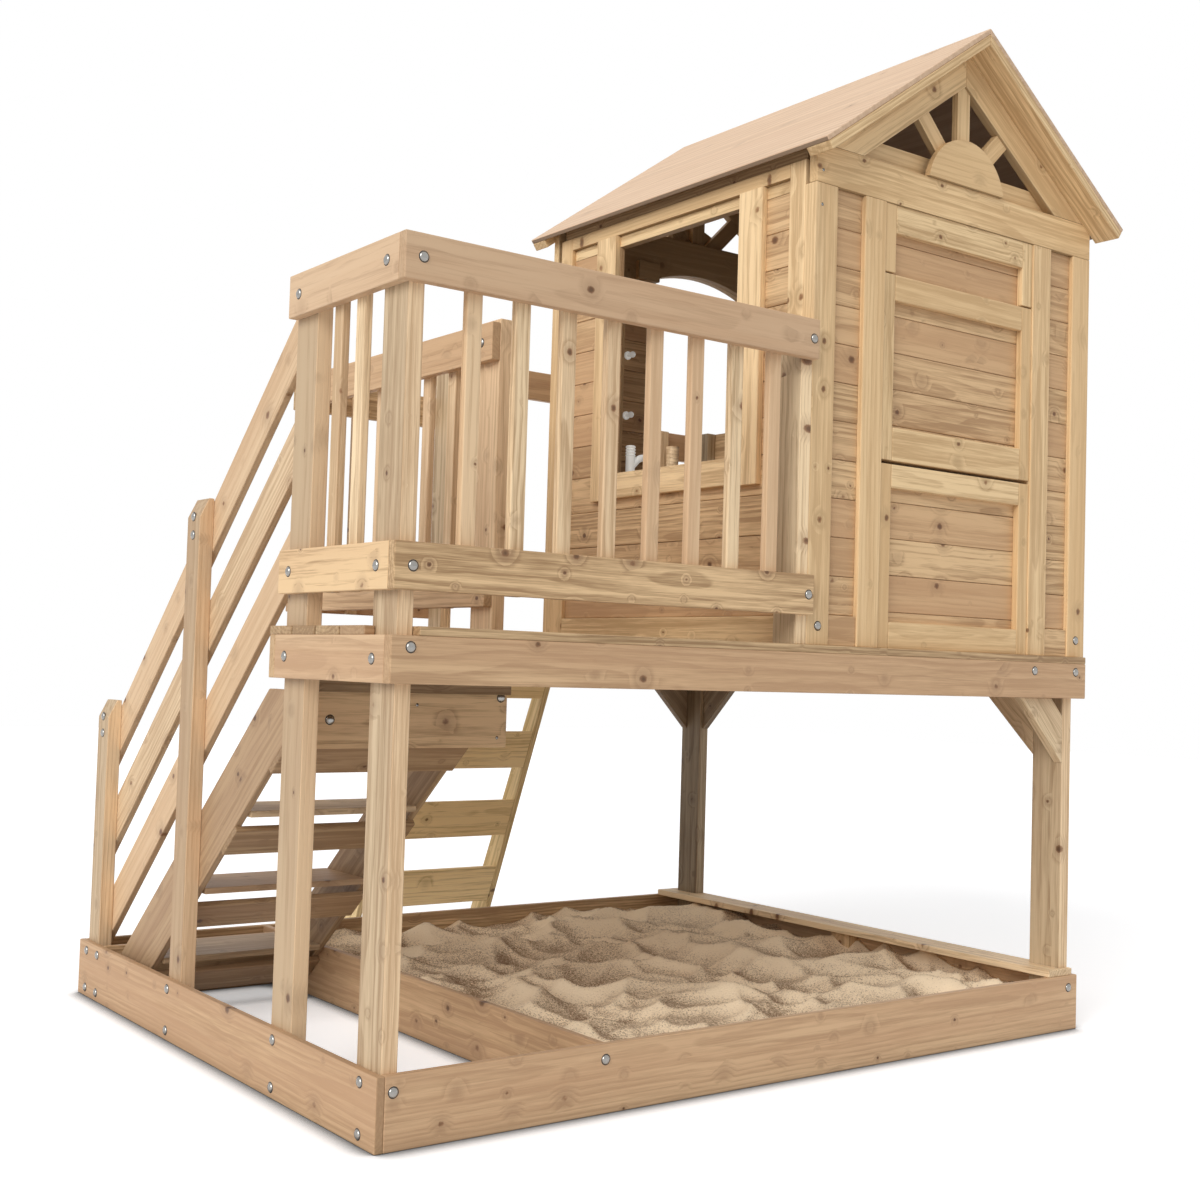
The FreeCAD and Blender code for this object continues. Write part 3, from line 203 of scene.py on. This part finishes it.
def scaledColour(colour, share):
    return tuple(shares[share] * part for part in colour)


def woodMaterial(name, look):
    material, shader, wire = newMaterial(name)
    grain = wire.stored("grain", 1)
    tone = wire.stored("tone")
    hue = wire.stored("hue")
    endFace = wire.stored("endFace")
    shade = wire.stored("shade")
    bleach = wire.stored("bleach")
    toneAndShadeGain = wire.stored("toneAndShadeGain")
    across, deep = grain.split()[1:]

    # knots: spots in cells, each with its own size, long through the board
    cell = knotLook["cells"]
    scaled = grain.stretch(cell)
    cells = {"Vector": scaled, "Scale": 1.0, "Randomness": knotLook["scatter"]}
    seedPoint = wire.node("ShaderNodeTexVoronoi", None, cells, 2)
    seedColour = wire.node("ShaderNodeTexVoronoi", None, cells, 1)
    chance, sizeShare = seedColour.split()[:2]
    offset = wire.node("ShaderNodeVectorMath", {"operation": "SUBTRACT"}, {0: scaled, 1: seedPoint})
    offset = offset.stretch((knotLook["long"] / cell[0], 1 / cell[1], knotLook["deep"] / cell[2]))
    away = wire.node("ShaderNodeVectorMath", {"operation": "LENGTH"}, {0: offset}, 1)
    edge = wire.cloud(grain, knotLook["edgeScale"], 1.0) - 0.5
    ratio = (away + edge * knotLook["edge"]) / (knotLook["least"] + sizeShare * sizeShare * knotLook["more"])
    present = chance.maths("LESS_THAN", chance, look["knots"])
    knot, core, halo = [ratio.smooth(*knotLook[part]) * present for part in ("knot", "core", "halo")]

    # growth rings round a pith line beside the board, wandering along it and bent round each knot
    wander = wire.cloud(grain.stretch((1.5, 6.0, 6.0)), 1.0, 2.0) - 0.5
    ripple = wire.cloud(grain.stretch((9.0, 26.0, 26.0)), 1.0, 1.0) - 0.5
    radius = wire.node("ShaderNodeVectorMath", {"operation": "LENGTH"}, {0: wire.join(0.0, across, deep)}, 1)
    turns = radius + wander * ringLook["wander"] + ripple * ringLook["ripple"] + halo * ringLook["roundKnots"]
    turns = turns / look["ringGap"]
    phase = turns.maths("FRACT", turns)
    ring = phase.smooth(*ringLook["rise"]) - phase.smooth(*ringLook["fall"])
    streak = wire.cloud(grain.stretch((2.2, 95.0, 95.0)), 1.0, 3.0, 0.6)
    band = wire.cloud(grain.stretch((1.1, 17.0, 17.0)), 1.0, 2.0)
    pore = wire.cloud(grain.stretch((14.0, 420.0, 420.0)), 1.0, 2.0, 0.6)

    dark = (ring * darkening["ring"] + (streak - 0.5) * darkening["streak"] + (band - 0.5) * darkening["band"]
            + (tone - 0.5) * darkening["tone"] + darkening["start"] + (pore - 0.5) * darkening["pore"]).clamp()
    pale = wire.tint(bleach, scaledColour(look["pale"], "pale"), bleached)
    deepest = wire.tint(bleach, scaledColour(look["deep"], "deep"), scaledColour(bleached, "bleachedDeep"))
    colour = wire.tint(dark, pale, deepest)
    colour = wire.tint((hue * mixes["hue"] + (band - 0.5) * mixes["band"]).clamp(), colour, look["warm"])
    colour = wire.tint(halo * mixes["halo"], colour, scaledColour(look["warm"], "halo"))
    colour = wire.tint(knot * mixes["knot"], colour, scaledColour(look["knot"], "knot"))
    colour = wire.tint(core * mixes["core"], colour, scaledColour(look["knot"], "core"))
    colour = wire.tint(endFace * mixes["end"], colour, scaledColour(look["deep"], "end"))
    # painted shade: faces inside the roof space and the shade boards are pulled towards dark brown
    colour = wire.tint(shade, colour, scaledColour(look["deep"], "shade"))
    # each face's brightness: the board's own tone, with painted shade on the far post, its braces, the stair boards and
    # the posts' left faces
    colour = wire.node("ShaderNodeVectorMath", {"operation": "SCALE"}, {0: colour, 3: toneAndShadeGain})
    height = ring * relief["ring"] + streak * relief["streak"] + pore * relief["pore"] - knot * relief["knot"]
    feed(wire, shader, {
        "Base Color": colour, "Roughness": (look["rough"] + (streak - 0.5) * 0.25 - knot * 0.12).clamp(),
        "Normal": wire.bump(height, relief["distance"], relief["strength"]), "Specular IOR Level": 0.35})
    return material


finishes = {name: woodMaterial(name + "_finish", look) for name, look in woodLooks.items()}


# boards
boardEdges = {"bevel": 0.0022, "segments": 2, "sharp": math.radians(25), "flat": math.radians(6),
              "join": math.radians(1), "seed": 11}
pithRange = {"along": 40, "across": 0.05, "through": (0.03, 0.16)}
# piece, axis and range of the board's middle in mm, then change of tone, bleaching and brightness; the brightness is
# partly each board's own tone and partly painted shade, which darkens the far post, its knee braces and the stair
# boards
boardLooks = [
    ("landing_rails", 2, 1500, 1800, -0.30, 0.50, 1.0), ("base_left", 2, 0, 200, 0.0, 0.05, 0.94),
    ("deck_beam_left", 2, 0, 2000, -0.15, 0.20, 1.0), ("stair_under_boards", 2, 0, 2000, 0.25, 0.0, 0.75),
    ("base_front", 2, 0, 2000, -0.10, 0.15, 1.05), ("stair_stringers", 2, 0, 2000, 0.3, 0.10, 0.70),
    ("stair_treads", 2, 0, 2000, 0.0, 0.20, 0.80), ("handrails", 2, 0, 2000, 0.0, 0.10, 0.88),
    ("post_back_right", 2, 0, 3000, 0.2, 0.0, 0.50), ("knee_braces", 1, 0, 3000, 0.3, 0.0, 0.36),
    ("knee_braces", 1, -3000, 0, 0.1, 0.0, 0.85), ("window_trims", 2, 0, 3000, -0.1, 0.1, 1.08),
    ("house_posts", 2, 0, 3000, -0.1, 0.1, 1.05), ("deck_boards", 2, 0, 3000, 0.2, 0.0, 0.88),
    ("ladder_rungs", 2, 0, 3000, -0.2, 0.0, 1.15), ("railing_posts", 2, 0, 3000, -0.1, 0.0, 1.06),
    ("post_front_left", 2, 0, 3000, -0.1, 0.1, 1.08), ("railing_balusters", 2, 0, 3000, 0.0, 0.0, 0.98),
    ("landing_rails", 2, 900, 1400, -0.2, 0.0, 1.06), ("deck_beam_front", 2, 0, 3000, 0.0, 0.08, 1.02),
    ("gable_bands", 2, 0, 3000, 0.0, 0.0, 1.08),
]
postLeftShade = 0.64  # painted shade on the posts' left faces: their brightness


def islandsOf(mesh):
    found = []
    seen = set()
    for start in mesh.verts:
        if start in seen:
            continue
        island = []
        queue = [start]
        seen.add(start)
        while queue:
            vert = queue.pop()
            island.append(vert)
            for edge in vert.link_edges:
                other = edge.other_vert(vert)
                if other not in seen:
                    seen.add(other)
                    queue.append(other)
        found.append(island)
    return found


def boardAxes(island, level):
    # along the longest edge that is a corner, or sideways for boards that lie level; through the largest face
    members = set(island)
    edges = {edge for vert in island for edge in vert.link_edges}
    corners = [edge for edge in edges if len(edge.link_faces) == 2 and edge.calc_face_angle(0) > boardEdges["flat"]]
    longest = max(sorted(corners, key=lambda edge: edge.index), key=lambda edge: edge.calc_length())
    along = (longest.verts[1].co - longest.verts[0].co).normalized()
    if level:
        sizes = [max(vert.co[k] for vert in island) - min(vert.co[k] for vert in island) for k in range(2)]
        along = Vector((1, 0, 0)) if sizes[0] > sizes[1] else Vector((0, 1, 0))
    # in the order of the mesh, so that equal faces are told apart the same way in each run
    faces = sorted({face for vert in island for face in vert.link_faces if set(face.verts) <= members},
                   key=lambda face: face.index)
    flat = max((face for face in faces if abs(face.normal.dot(along)) < 0.5), key=lambda face: face.calc_area())
    through = (flat.normal - along * flat.normal.dot(along)).normalized()
    if along.x + along.y * 0.7 + along.z * 0.4 < 0:
        along = -along
    return along, through.cross(along), through, faces


def cleanCopy(node):
    # the node's loose triangles, joined into its solids; two solids that only touch stay apart
    mesh = nodes[node].data
    source = bmesh.new()
    corners = {}
    openEdges = set()
    for polygon in mesh.polygons:
        spots = [tuple(round(value, 5) for value in mesh.vertices[index].co) for index in polygon.vertices]
        if len(set(spots)) < 3:
            continue
        for spot, index in zip(spots, polygon.vertices):
            if spot not in corners:
                corners[spot] = source.verts.new(mesh.vertices[index].co)
        if source.faces.get([corners[spot] for spot in spots]) is None:
            source.faces.new([corners[spot] for spot in spots])
        for k in range(len(spots)):
            openEdges ^= {frozenset((spots[k], spots[(k + 1) % len(spots)]))}
        if not openEdges:
            corners = {}
    bmesh.ops.dissolve_limit(source, angle_limit=boardEdges["join"], verts=source.verts, edges=source.edges)
    source.normal_update()
    return source


houseLow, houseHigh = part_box("gable_bands")
houseMiddle = (houseLow + houseHigh) / 2


def interiorShade(node, face):
    # painted shade inside the roof space: the sheets' undersides and whatever faces inwards under them are darkened
    # towards dark brown
    centre = face.calc_center_median()
    if node == "roof_sheets":
        return 0.8 if face.normal.z < -0.3 and houseLow.y < centre.y < houseHigh.y else 0.0
    if node in ("gable_bands", "gable_sunbursts", "roof_rafters", "house_plates"):
        inward = face.normal.y * (houseMiddle.y - centre.y) > 0.01 or face.normal.z < -0.5
        return 0.6 if inward and centre.z > houseLow.z - 0.01 else 0.0
    return 0.0


def addPiece(name, mesh, body, replaced=None):
    piece = bpy.data.objects.new(name, mesh)
    bpy.context.scene.collection.objects.link(piece)
    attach(piece, body)
    if replaced:
        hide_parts(replaced)


def makeBoards(node, finish):
    rng = random.Random(boardEdges["seed"] + sum(ord(c) * (i + 1) for i, c in enumerate(node)))
    source = cleanCopy(node)
    sharp = [edge for edge in source.edges
             if len(edge.link_faces) == 2 and edge.calc_face_angle(0) > boardEdges["sharp"]]
    bmesh.ops.bevel(source, geom=sharp, offset=boardEdges["bevel"], segments=boardEdges["segments"],
                    affect="EDGES", clamp_overlap=True, profile=0.5)
    source.normal_update()
    source.edges.index_update()
    source.faces.index_update()
    grain = source.verts.layers.float_vector.new("grain")
    tone = source.verts.layers.float.new("tone")
    hue = source.verts.layers.float.new("hue")
    bleach = source.verts.layers.float.new("bleach")
    endFace = source.faces.layers.float.new("endFace")
    shade = source.faces.layers.float.new("shade")
    toneAndShadeGain = source.faces.layers.float.new("toneAndShadeGain")
    boards = islandsOf(source)
    for island in boards:
        along, across, through, faces = boardAxes(island, finish == "cladding")
        middle = sum((vert.co for vert in island), Vector()) / len(island)
        pith = Vector((rng.uniform(-pithRange["along"], pithRange["along"]),
                       rng.uniform(-pithRange["across"], pithRange["across"]),
                       rng.choice((-1, 1)) * rng.uniform(*pithRange["through"])))
        level = min(max(0.5 + rng.gauss(0, 0.2), 0), 1)
        whiter, toneAndShade = 0.0, 1.0
        for name, axis, low, high, shift, pale, scale in boardLooks:
            if name == node and low < middle[axis] * 1000 < high:
                level += shift
                whiter, toneAndShade = pale, scale
        warmth = rng.random() ** 1.6
        for vert in island:
            local = vert.co - middle
            vert[grain] = Vector((local.dot(along), local.dot(across), local.dot(through))) + pith
            vert[tone] = level
            vert[hue] = warmth
            vert[bleach] = whiter
        for face in faces:
            # painted shade: the posts' left faces are darker
            side = node.startswith(("post_", "newel", "railing_posts")) and face.normal.x < -0.7
            face[toneAndShadeGain] = toneAndShade * (postLeftShade if side else 1.0)
            face[endFace] = 1.0 if abs(face.normal.dot(along)) > 0.8 else 0.0
            face[shade] = interiorShade(node, face)
            face.smooth = False
    mesh = bpy.data.meshes.new(node + "_wood")
    source.to_mesh(mesh)
    source.free()
    mesh.materials.append(finishes[finish])
    addPiece(node + "_wood", mesh, bodyOf[node], node)
    return len(boards)


slotOf = {entry["node"]: entry["material_slot"] for entry in frame["record"]["subparts"]}
counts = {}
for node, slot in slotOf.items():
    if slot in woodLooks:
        counts[node] = makeBoards(node, "pale_fir" if node in paleNodes else slot)
print("boards:", sum(counts.values()), counts)

# thin boards that close gaps, darkened as painted shade under the eave, under the stair beam and behind the panels:
# name, low and high corners in mm, shade and finish
eave = {"low": 2099, "high": 2136, "near": 60, "far": 1010, "thick": 16, "left": 1098, "right": 2096}
shadeBoards = [(side, (eave[x], eave["near"], eave["low"]), (eave[x] + eave["thick"], eave["far"], eave["high"]), 0.3,
            "cladding") for side, x in (("eave_shade_board_left", "left"), ("eave_shade_board_right", "right"))]
shadeBoards += [("header_shade_board", (54, 482, 832), (600, 503, 860), 0.6, "fir"),
            ("panel_shade_board", (1345, 54.6, 1396), (1865, 62, 1433), 0.8, "cladding")]
fillerLook = {"bevel": 0.0012, "tone": 0.7, "pith": (7.3, 0.02, 0.09)}


def addFiller(name, low, high, dark, finish):
    made = bmesh.new()
    bmesh.ops.create_cube(made, size=1.0)
    for vert in made.verts:
        vert.co = Vector([low[k] + (high[k] - low[k]) * (vert.co[k] + 0.5) for k in range(3)])
    bmesh.ops.bevel(made, geom=list(made.edges), offset=fillerLook["bevel"], segments=1, affect="EDGES")
    grain = made.verts.layers.float_vector.new("grain")
    tone = made.verts.layers.float.new("tone")
    shade = made.faces.layers.float.new("shade")
    toneAndShadeGain = made.faces.layers.float.new("toneAndShadeGain")
    along = max(range(3), key=lambda k: high[k] - low[k])
    order = (along, (along + 1) % 3, (along + 2) % 3)
    for vert in made.verts:
        vert[grain] = Vector([vert.co[k] for k in order]) + Vector(fillerLook["pith"])
        vert[tone] = fillerLook["tone"]
    # painted shade: the whole board is darkened by this amount
    for face in made.faces:
        face[shade] = dark
        face[toneAndShadeGain] = 1.0
    mesh = bpy.data.meshes.new(name)
    made.to_mesh(mesh)
    made.free()
    mesh.materials.append(finishes[finish])
    addPiece(name, mesh, "frame")


for name, low, high, dark, finish in shadeBoards:
    addFiller(name, at(*low), at(*high), dark, finish)


# plain finishes for what is not wood
def plainMaterial(name, colour, roughness, metallic=0.0, paintedGlow=0.0):
    material, shader, wire = newMaterial(name)
    place = wire.node("ShaderNodeTexCoord", None, None, 3)
    mottle = wire.cloud(place, 60.0, 3.0)
    feed(wire, shader, {"Base Color": wire.tint(mottle.smooth(0.3, 0.7), colour, tuple(c * 0.9 for c in colour)),
                        "Roughness": (mottle - 0.5) * 0.1 + roughness, "Metallic": metallic,
                        "Emission Color": (*colour, 1), "Emission Strength": paintedGlow,
                        "Normal": wire.bump(mottle, 0.0002, 0.3)})
    return material


plain = {
    # the white plastic carries a faint glow: painted light that brightens the tap and pegs in the shade of the house
    "white_plastic": plainMaterial("white_plastic_finish", (0.90, 0.90, 0.86), 0.3, 0.0, 0.22),
    "sink_plastic": plainMaterial("sink_plastic_finish", (0.55, 0.57, 0.58), 0.35),
}
for node, slot in slotOf.items():
    if slot in plain:
        piece = nodes[node]
        piece.data.materials.clear()
        piece.data.materials.append(plain[slot])
zincFinish = plainMaterial("zinc_finish", (0.36, 0.35, 0.33), 0.2, 1.0)
# near-black finish for the bolt rims and screw crosses: painted shade of the recesses
recessShadeFinish = plainMaterial("recess_shade_finish", (0.05, 0.045, 0.04), 0.6)


# bolt and screw heads, on points that know which way they face
headSizes = {"boltRadius": 0.0102, "boltHeight": 0.005, "screwRadius": 0.0036, "screwHeight": 0.0014,
             "rimWide": 1.13, "rimHigh": 0.16, "crossTurn": 0.4}


def headTree(crossed):
    tree = bpy.data.node_groups.new("screw_heads" if crossed else "bolt_heads", "GeometryNodeTree")
    sockets = {}
    for label, kind in (("Points", "Geometry"), ("Radius", "Float"), ("Height", "Float"), ("Finish", "Material"),
                        ("RecessShade", "Material")):
        sockets[label] = tree.interface.new_socket(label, in_out="INPUT", socket_type="NodeSocket" + kind)
    tree.interface.new_socket("Heads", in_out="OUTPUT", socket_type="NodeSocketGeometry")
    entry = tree.nodes.new("NodeGroupInput")
    points, radius, height, finish, recessShade = [Wire(tree, entry.outputs[label]) for label in sockets]
    wire = Wire(tree, None)
    one = wire.join(1.0, 1.0, height / radius)
    dome = wire.node("GeometryNodeMeshUVSphere", None, {"Segments": 16, "Rings": 8, "Radius": radius})
    dome = wire.node("GeometryNodeTransform", None, {"Geometry": dome, "Scale": one})
    rim = wire.node("GeometryNodeMeshCylinder", None, {"Vertices": 16, "Radius": radius * headSizes["rimWide"],
                                                        "Depth": height * headSizes["rimHigh"]})
    rim = wire.node("GeometryNodeSetMaterial", None, {"Geometry": rim, "Material": recessShade})
    head = wire.gather(wire.node("GeometryNodeSetMaterial", None, {"Geometry": dome, "Material": finish}), rim)
    if crossed:
        bars = []
        for turn in (headSizes["crossTurn"], headSizes["crossTurn"] + math.pi / 2):
            bar = wire.node("GeometryNodeMeshCube", None,
                            {"Size": wire.join(radius * 1.2, radius * 0.26, height * 0.5)})
            bars.append(wire.node("GeometryNodeTransform", None, {
                "Geometry": bar, "Translation": wire.join(0.0, 0.0, height * 0.86), "Rotation": (0, 0, turn)}))
        cross = wire.node("GeometryNodeSetMaterial", None, {"Geometry": wire.gather(*bars), "Material": recessShade})
        head = wire.gather(head, cross)
    aim = wire.node("GeometryNodeInputNamedAttribute", {"data_type": "FLOAT_VECTOR"}, {"Name": "aim"})
    turn = wire.node("FunctionNodeAlignRotationToVector", {"axis": "Z"}, {"Vector": aim})
    heads = wire.node("GeometryNodeInstanceOnPoints", None, {
        "Points": wire.node("GeometryNodeMeshToPoints", None, {"Mesh": points}), "Instance": head, "Rotation": turn})
    heads = wire.node("GeometryNodeRealizeInstances", None, {"Geometry": heads})
    leave = tree.nodes.new("NodeGroupOutput")
    tree.links.new(heads.socket, leave.inputs["Heads"])
    return tree, sockets


def makeHeads(name, places, crossed, radius, height, replaced=None):
    cloud = bpy.data.meshes.new(name + "_points")
    cloud.from_pydata([place for place, aim in places], [], [])
    aims = cloud.attributes.new("aim", "FLOAT_VECTOR", "POINT")
    for item, (place, aim) in zip(aims.data, places):
        item.vector = aim
    holder = bpy.data.objects.new(name + "_points", cloud)
    bpy.context.scene.collection.objects.link(holder)
    tree, sockets = headTree(crossed)
    modifier = holder.modifiers.new("heads", "NODES")
    modifier.node_group = tree
    for label, value in (("Radius", radius), ("Height", height), ("Finish", zincFinish), ("RecessShade", recessShadeFinish)):
        modifier[sockets[label].identifier] = value
    seen = holder.evaluated_get(bpy.context.evaluated_depsgraph_get())
    mesh = bpy.data.meshes.new_from_object(seen)
    holder.modifiers.remove(modifier)
    bpy.data.objects.remove(holder)
    for polygon in mesh.polygons:
        polygon.use_smooth = True
    addPiece(name, mesh, "frame", replaced)
    print(name, len(places))


def boltPlaces():
    source = cleanCopy("carriage_bolts")
    places = []
    for island in islandsOf(source):
        low = [min(vert.co[k] for vert in island) for k in range(3)]
        high = [max(vert.co[k] for vert in island) for k in range(3)]
        thin = min(range(3), key=lambda k: high[k] - low[k])
        middle = (Vector(low) + Vector(high)) / 2
        apex = min(island, key=lambda vert: sum((vert.co[k] - middle[k]) ** 2 for k in range(3) if k != thin))
        aim = Vector((0, 0, 0))
        aim[thin] = 1 if apex.co[thin] > middle[thin] else -1
        middle[thin] = low[thin] if aim[thin] > 0 else high[thin]
        places.append((middle, aim))
    source.free()
    return places


makeHeads("bolt_heads", boltPlaces(), False, headSizes["boltRadius"], headSizes["boltHeight"], "carriage_bolts")
# one on the gable band and one on the corner post under it; the two on the stair header stand on marks in the photo
screwMarks = [(1109, 18, 2068), (1108, 18, 1987), (360, 504, 806), (578, 504, 732)]
screws = [(at(*mark), Vector((0, -1, 0))) for mark in screwMarks]
makeHeads("screw_heads", screws, True, headSizes["screwRadius"], headSizes["screwHeight"])


# raked sand in crests and hollows
sandLook = {"step": 0.0075, "level": 0.068, "crest": 0.056, "cells": (5.6, 7.4), "floor": 0.002,
            "seed": (3.1, 7.7, 0.4), "sway": 0.55, "hollow": 0.75, "lean": 0.3, "slope": 0.8,
            "dark": (0.33, 0.205, 0.12), "bright": (1.0, 0.81, 0.57)}


def sandHeight(x, y):
    # round hollows with sharp crests between them
    start = Vector(sandLook["seed"])
    swayX = noise.noise(Vector((x * 4.0, y * 4.0, 9.0)) + start) * sandLook["sway"]
    swayY = noise.noise(Vector((x * 4.0, y * 4.0, 4.0)) + start) * sandLook["sway"]
    spot = Vector((x * sandLook["cells"][0] + swayX, y * sandLook["cells"][1] + swayY, 0.0))
    near = noise.voronoi(spot)[0][0] / sandLook["hollow"]
    second = noise.voronoi(spot * 1.7 + Vector((4, 2, 0)))[0][0] / sandLook["hollow"]
    wide = noise.noise(Vector((x, y, 0.0)) * 1.7 + start)
    peak = min(near, 1.15) ** 1.9 * 0.8 + min(second, 1.1) ** 1.6 * 0.2
    return sandLook["level"] + sandLook["crest"] * (peak + wide * 0.3), peak


def makeSand():
    low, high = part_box("sand_fill")
    columns = int((high.x - low.x) / sandLook["step"])
    rows = int((high.y - low.y) / sandLook["step"])
    made = bmesh.new()
    crest = made.verts.layers.float.new("crest")
    lit = made.verts.layers.float.new("lit")
    reach = sandLook["step"] * 1.5
    grid = []
    for i in range(columns + 1):
        x = low.x + (high.x - low.x) * i / columns
        line = []
        for j in range(rows + 1):
            y = low.y + (high.y - low.y) * j / rows
            height, peak = sandHeight(x, y)
            vert = made.verts.new((x, y, low.z + height))
            vert[crest] = peak
            # painted light: 'lit' is lighter on slopes that face the sun and darker on those turned away
            ahead = sandHeight(x + reach, y + reach * sandLook["lean"])[0]
            behind = sandHeight(x - reach, y - reach * sandLook["lean"])[0]
            vert[lit] = 0.5 + (ahead - behind) / reach * sandLook["slope"]
            line.append(vert)
        grid.append(line)
    for i in range(columns):
        for j in range(rows):
            made.faces.new((grid[i][j], grid[i + 1][j], grid[i + 1][j + 1], grid[i][j + 1])).smooth = True
    edge = ([grid[i][0] for i in range(columns)] + [grid[columns][j] for j in range(rows)]
            + [grid[i][rows] for i in range(columns, 0, -1)] + [grid[0][j] for j in range(rows, 0, -1)])
    foot = [made.verts.new((vert.co.x, vert.co.y, low.z + sandLook["floor"])) for vert in edge]
    for k in range(len(edge)):
        after = (k + 1) % len(edge)
        made.faces.new((edge[k], foot[k], foot[after], edge[after]))
    made.faces.new(list(reversed(foot)))
    mesh = bpy.data.meshes.new("raked_sand")
    made.normal_update()
    made.to_mesh(mesh)
    made.free()
    material, shader, wire = newMaterial("sand_finish")
    place = wire.node("ShaderNodeTexCoord", None, None, 3)
    grains = wire.cloud(place, 210.0, 2.0, 0.7)
    fine = wire.cloud(place, 520.0, 1.0, 0.6)
    patch = wire.cloud(place, 9.0, 2.0)
    crest = wire.stored("crest")
    lit = wire.stored("lit")
    # sand colour: real speckle of grains and patches, with painted light and shade: crests lighter, hollows darker and
    # sun-facing slopes lighter
    level = ((grains - 0.5) * 3.4 + (fine - 0.5) * 2.4 + (patch - 0.5) * 0.3 + (crest - 0.5) * 0.7
             + (lit - 0.5) * 0.75 + 0.50).clamp()
    feed(wire, shader, {
        "Base Color": wire.tint(level, sandLook["dark"], sandLook["bright"]), "Roughness": 0.95,
        "Specular IOR Level": 0.2, "Normal": wire.bump(grains + fine * 0.6, 0.0022, 0.7)})
    mesh.materials.append(material)
    addPiece("raked_sand", mesh, "frame", "sand_fill")
    print("sand faces", len(mesh.polygons))


makeSand()


# floor, light and camera
studio = {"floor": 30.0, "sunStrength": 2.0, "sunAngle": 40.0, "sunFrom": (-0.80, -0.33, 0.50), "sky": 0.50,
          "floorLift": 0.42, "contact": 0.07, "floorTop": -0.0005, "shadow": 0.08, "grey": (0.93, 0.93, 0.94)}
# fitted to the photo: lens and picture in pixels, place in mm, and the camera's three axes
view = {"lens": 1553.06, "middle": (557.36, 596.99), "picture": 1200, "sensor": 36, "place": (-1442.5, -2506.5, 900.1),
        "right": (0.80851798, -0.58765418, 0.03100403), "down": (0.05162871, 0.01835313, -0.99849769),
        "ahead": (0.58620232, 0.80890403, 0.04517866)}


def seenDirectly(tree):
    # 1 for what the camera or a reflection sees
    path = tree.nodes.new("ShaderNodeLightPath")
    return (Wire(tree, path.outputs["Is Camera Ray"]) + Wire(tree, path.outputs["Is Glossy Ray"])).clamp()


def addLights():
    sun = bpy.data.lights.new("key_sun", "SUN")
    sun.energy = studio["sunStrength"]
    sun.angle = math.radians(studio["sunAngle"])
    lamp = bpy.data.objects.new("key_sun", sun)
    lamp.rotation_euler = Vector(studio["sunFrom"]).to_track_quat("Z", "Y").to_euler()
    bpy.context.scene.collection.objects.link(lamp)
    world = bpy.data.worlds.new("studio_world")
    bpy.context.scene.world = world
    world.use_nodes = True
    background = world.node_tree.nodes["Background"]
    white = seenDirectly(world.node_tree)
    background.inputs["Color"].default_value = (1, 1, 1, 1)
    world.node_tree.links.new((white * (1 - studio["sky"]) + studio["sky"]).socket, background.inputs["Strength"])


def addFloor():
    half = studio["floor"] / 2
    mesh = bpy.data.meshes.new("studio_floor")
    mesh.from_pydata([(-half, -half, 0), (half, -half, 0), (half, half, 0), (-half, half, 0)], [], [(0, 1, 2, 3)])
    floor = bpy.data.objects.new("studio_floor", mesh)
    bpy.context.scene.collection.objects.link(floor)
    material, shader, wire = newMaterial("floor_finish")
    # painted contact shadow: the Ambient Occlusion node darkens the floor's colour and glow close to the object
    closeness = wire.node("ShaderNodeAmbientOcclusion", {"samples": 12}, {"Distance": studio["contact"]}, 1)
    clear = closeness.smooth(0.40, 0.97) * (1 - studio["shadow"]) + studio["shadow"]
    lift = clear * seenDirectly(material.node_tree) * studio["floorLift"]
    feed(wire, shader, {"Base Color": wire.join(*[clear * part for part in studio["grey"]]), "Roughness": 0.9,
                        "Emission Color": wire.join(lift, lift, lift), "Emission Strength": 1.0})
    floor.data.materials.append(material)
    floor.location.z = studio["floorTop"]


def addCamera():
    right, down, ahead = [Vector(view[axis]) for axis in ("right", "down", "ahead")]
    half = view["picture"] / 2
    lens = bpy.data.cameras.new("photo_view")
    lens.sensor_width = view["sensor"]
    lens.lens = view["lens"] / view["picture"] * view["sensor"]
    lens.shift_x = (half - view["middle"][0]) / view["picture"]
    lens.shift_y = (view["middle"][1] - half) / view["picture"]
    camera = bpy.data.objects.new("photo_view", lens)
    turn = Matrix((right, -down, -ahead)).transposed().to_4x4()
    camera.matrix_world = Matrix.Translation(at(*view["place"])) @ turn
    bpy.context.scene.collection.objects.link(camera)
    bpy.context.scene.camera = camera


addLights()
addFloor()
addCamera()
bpy.context.scene.view_settings.view_transform = "Standard"
print("stage ready")
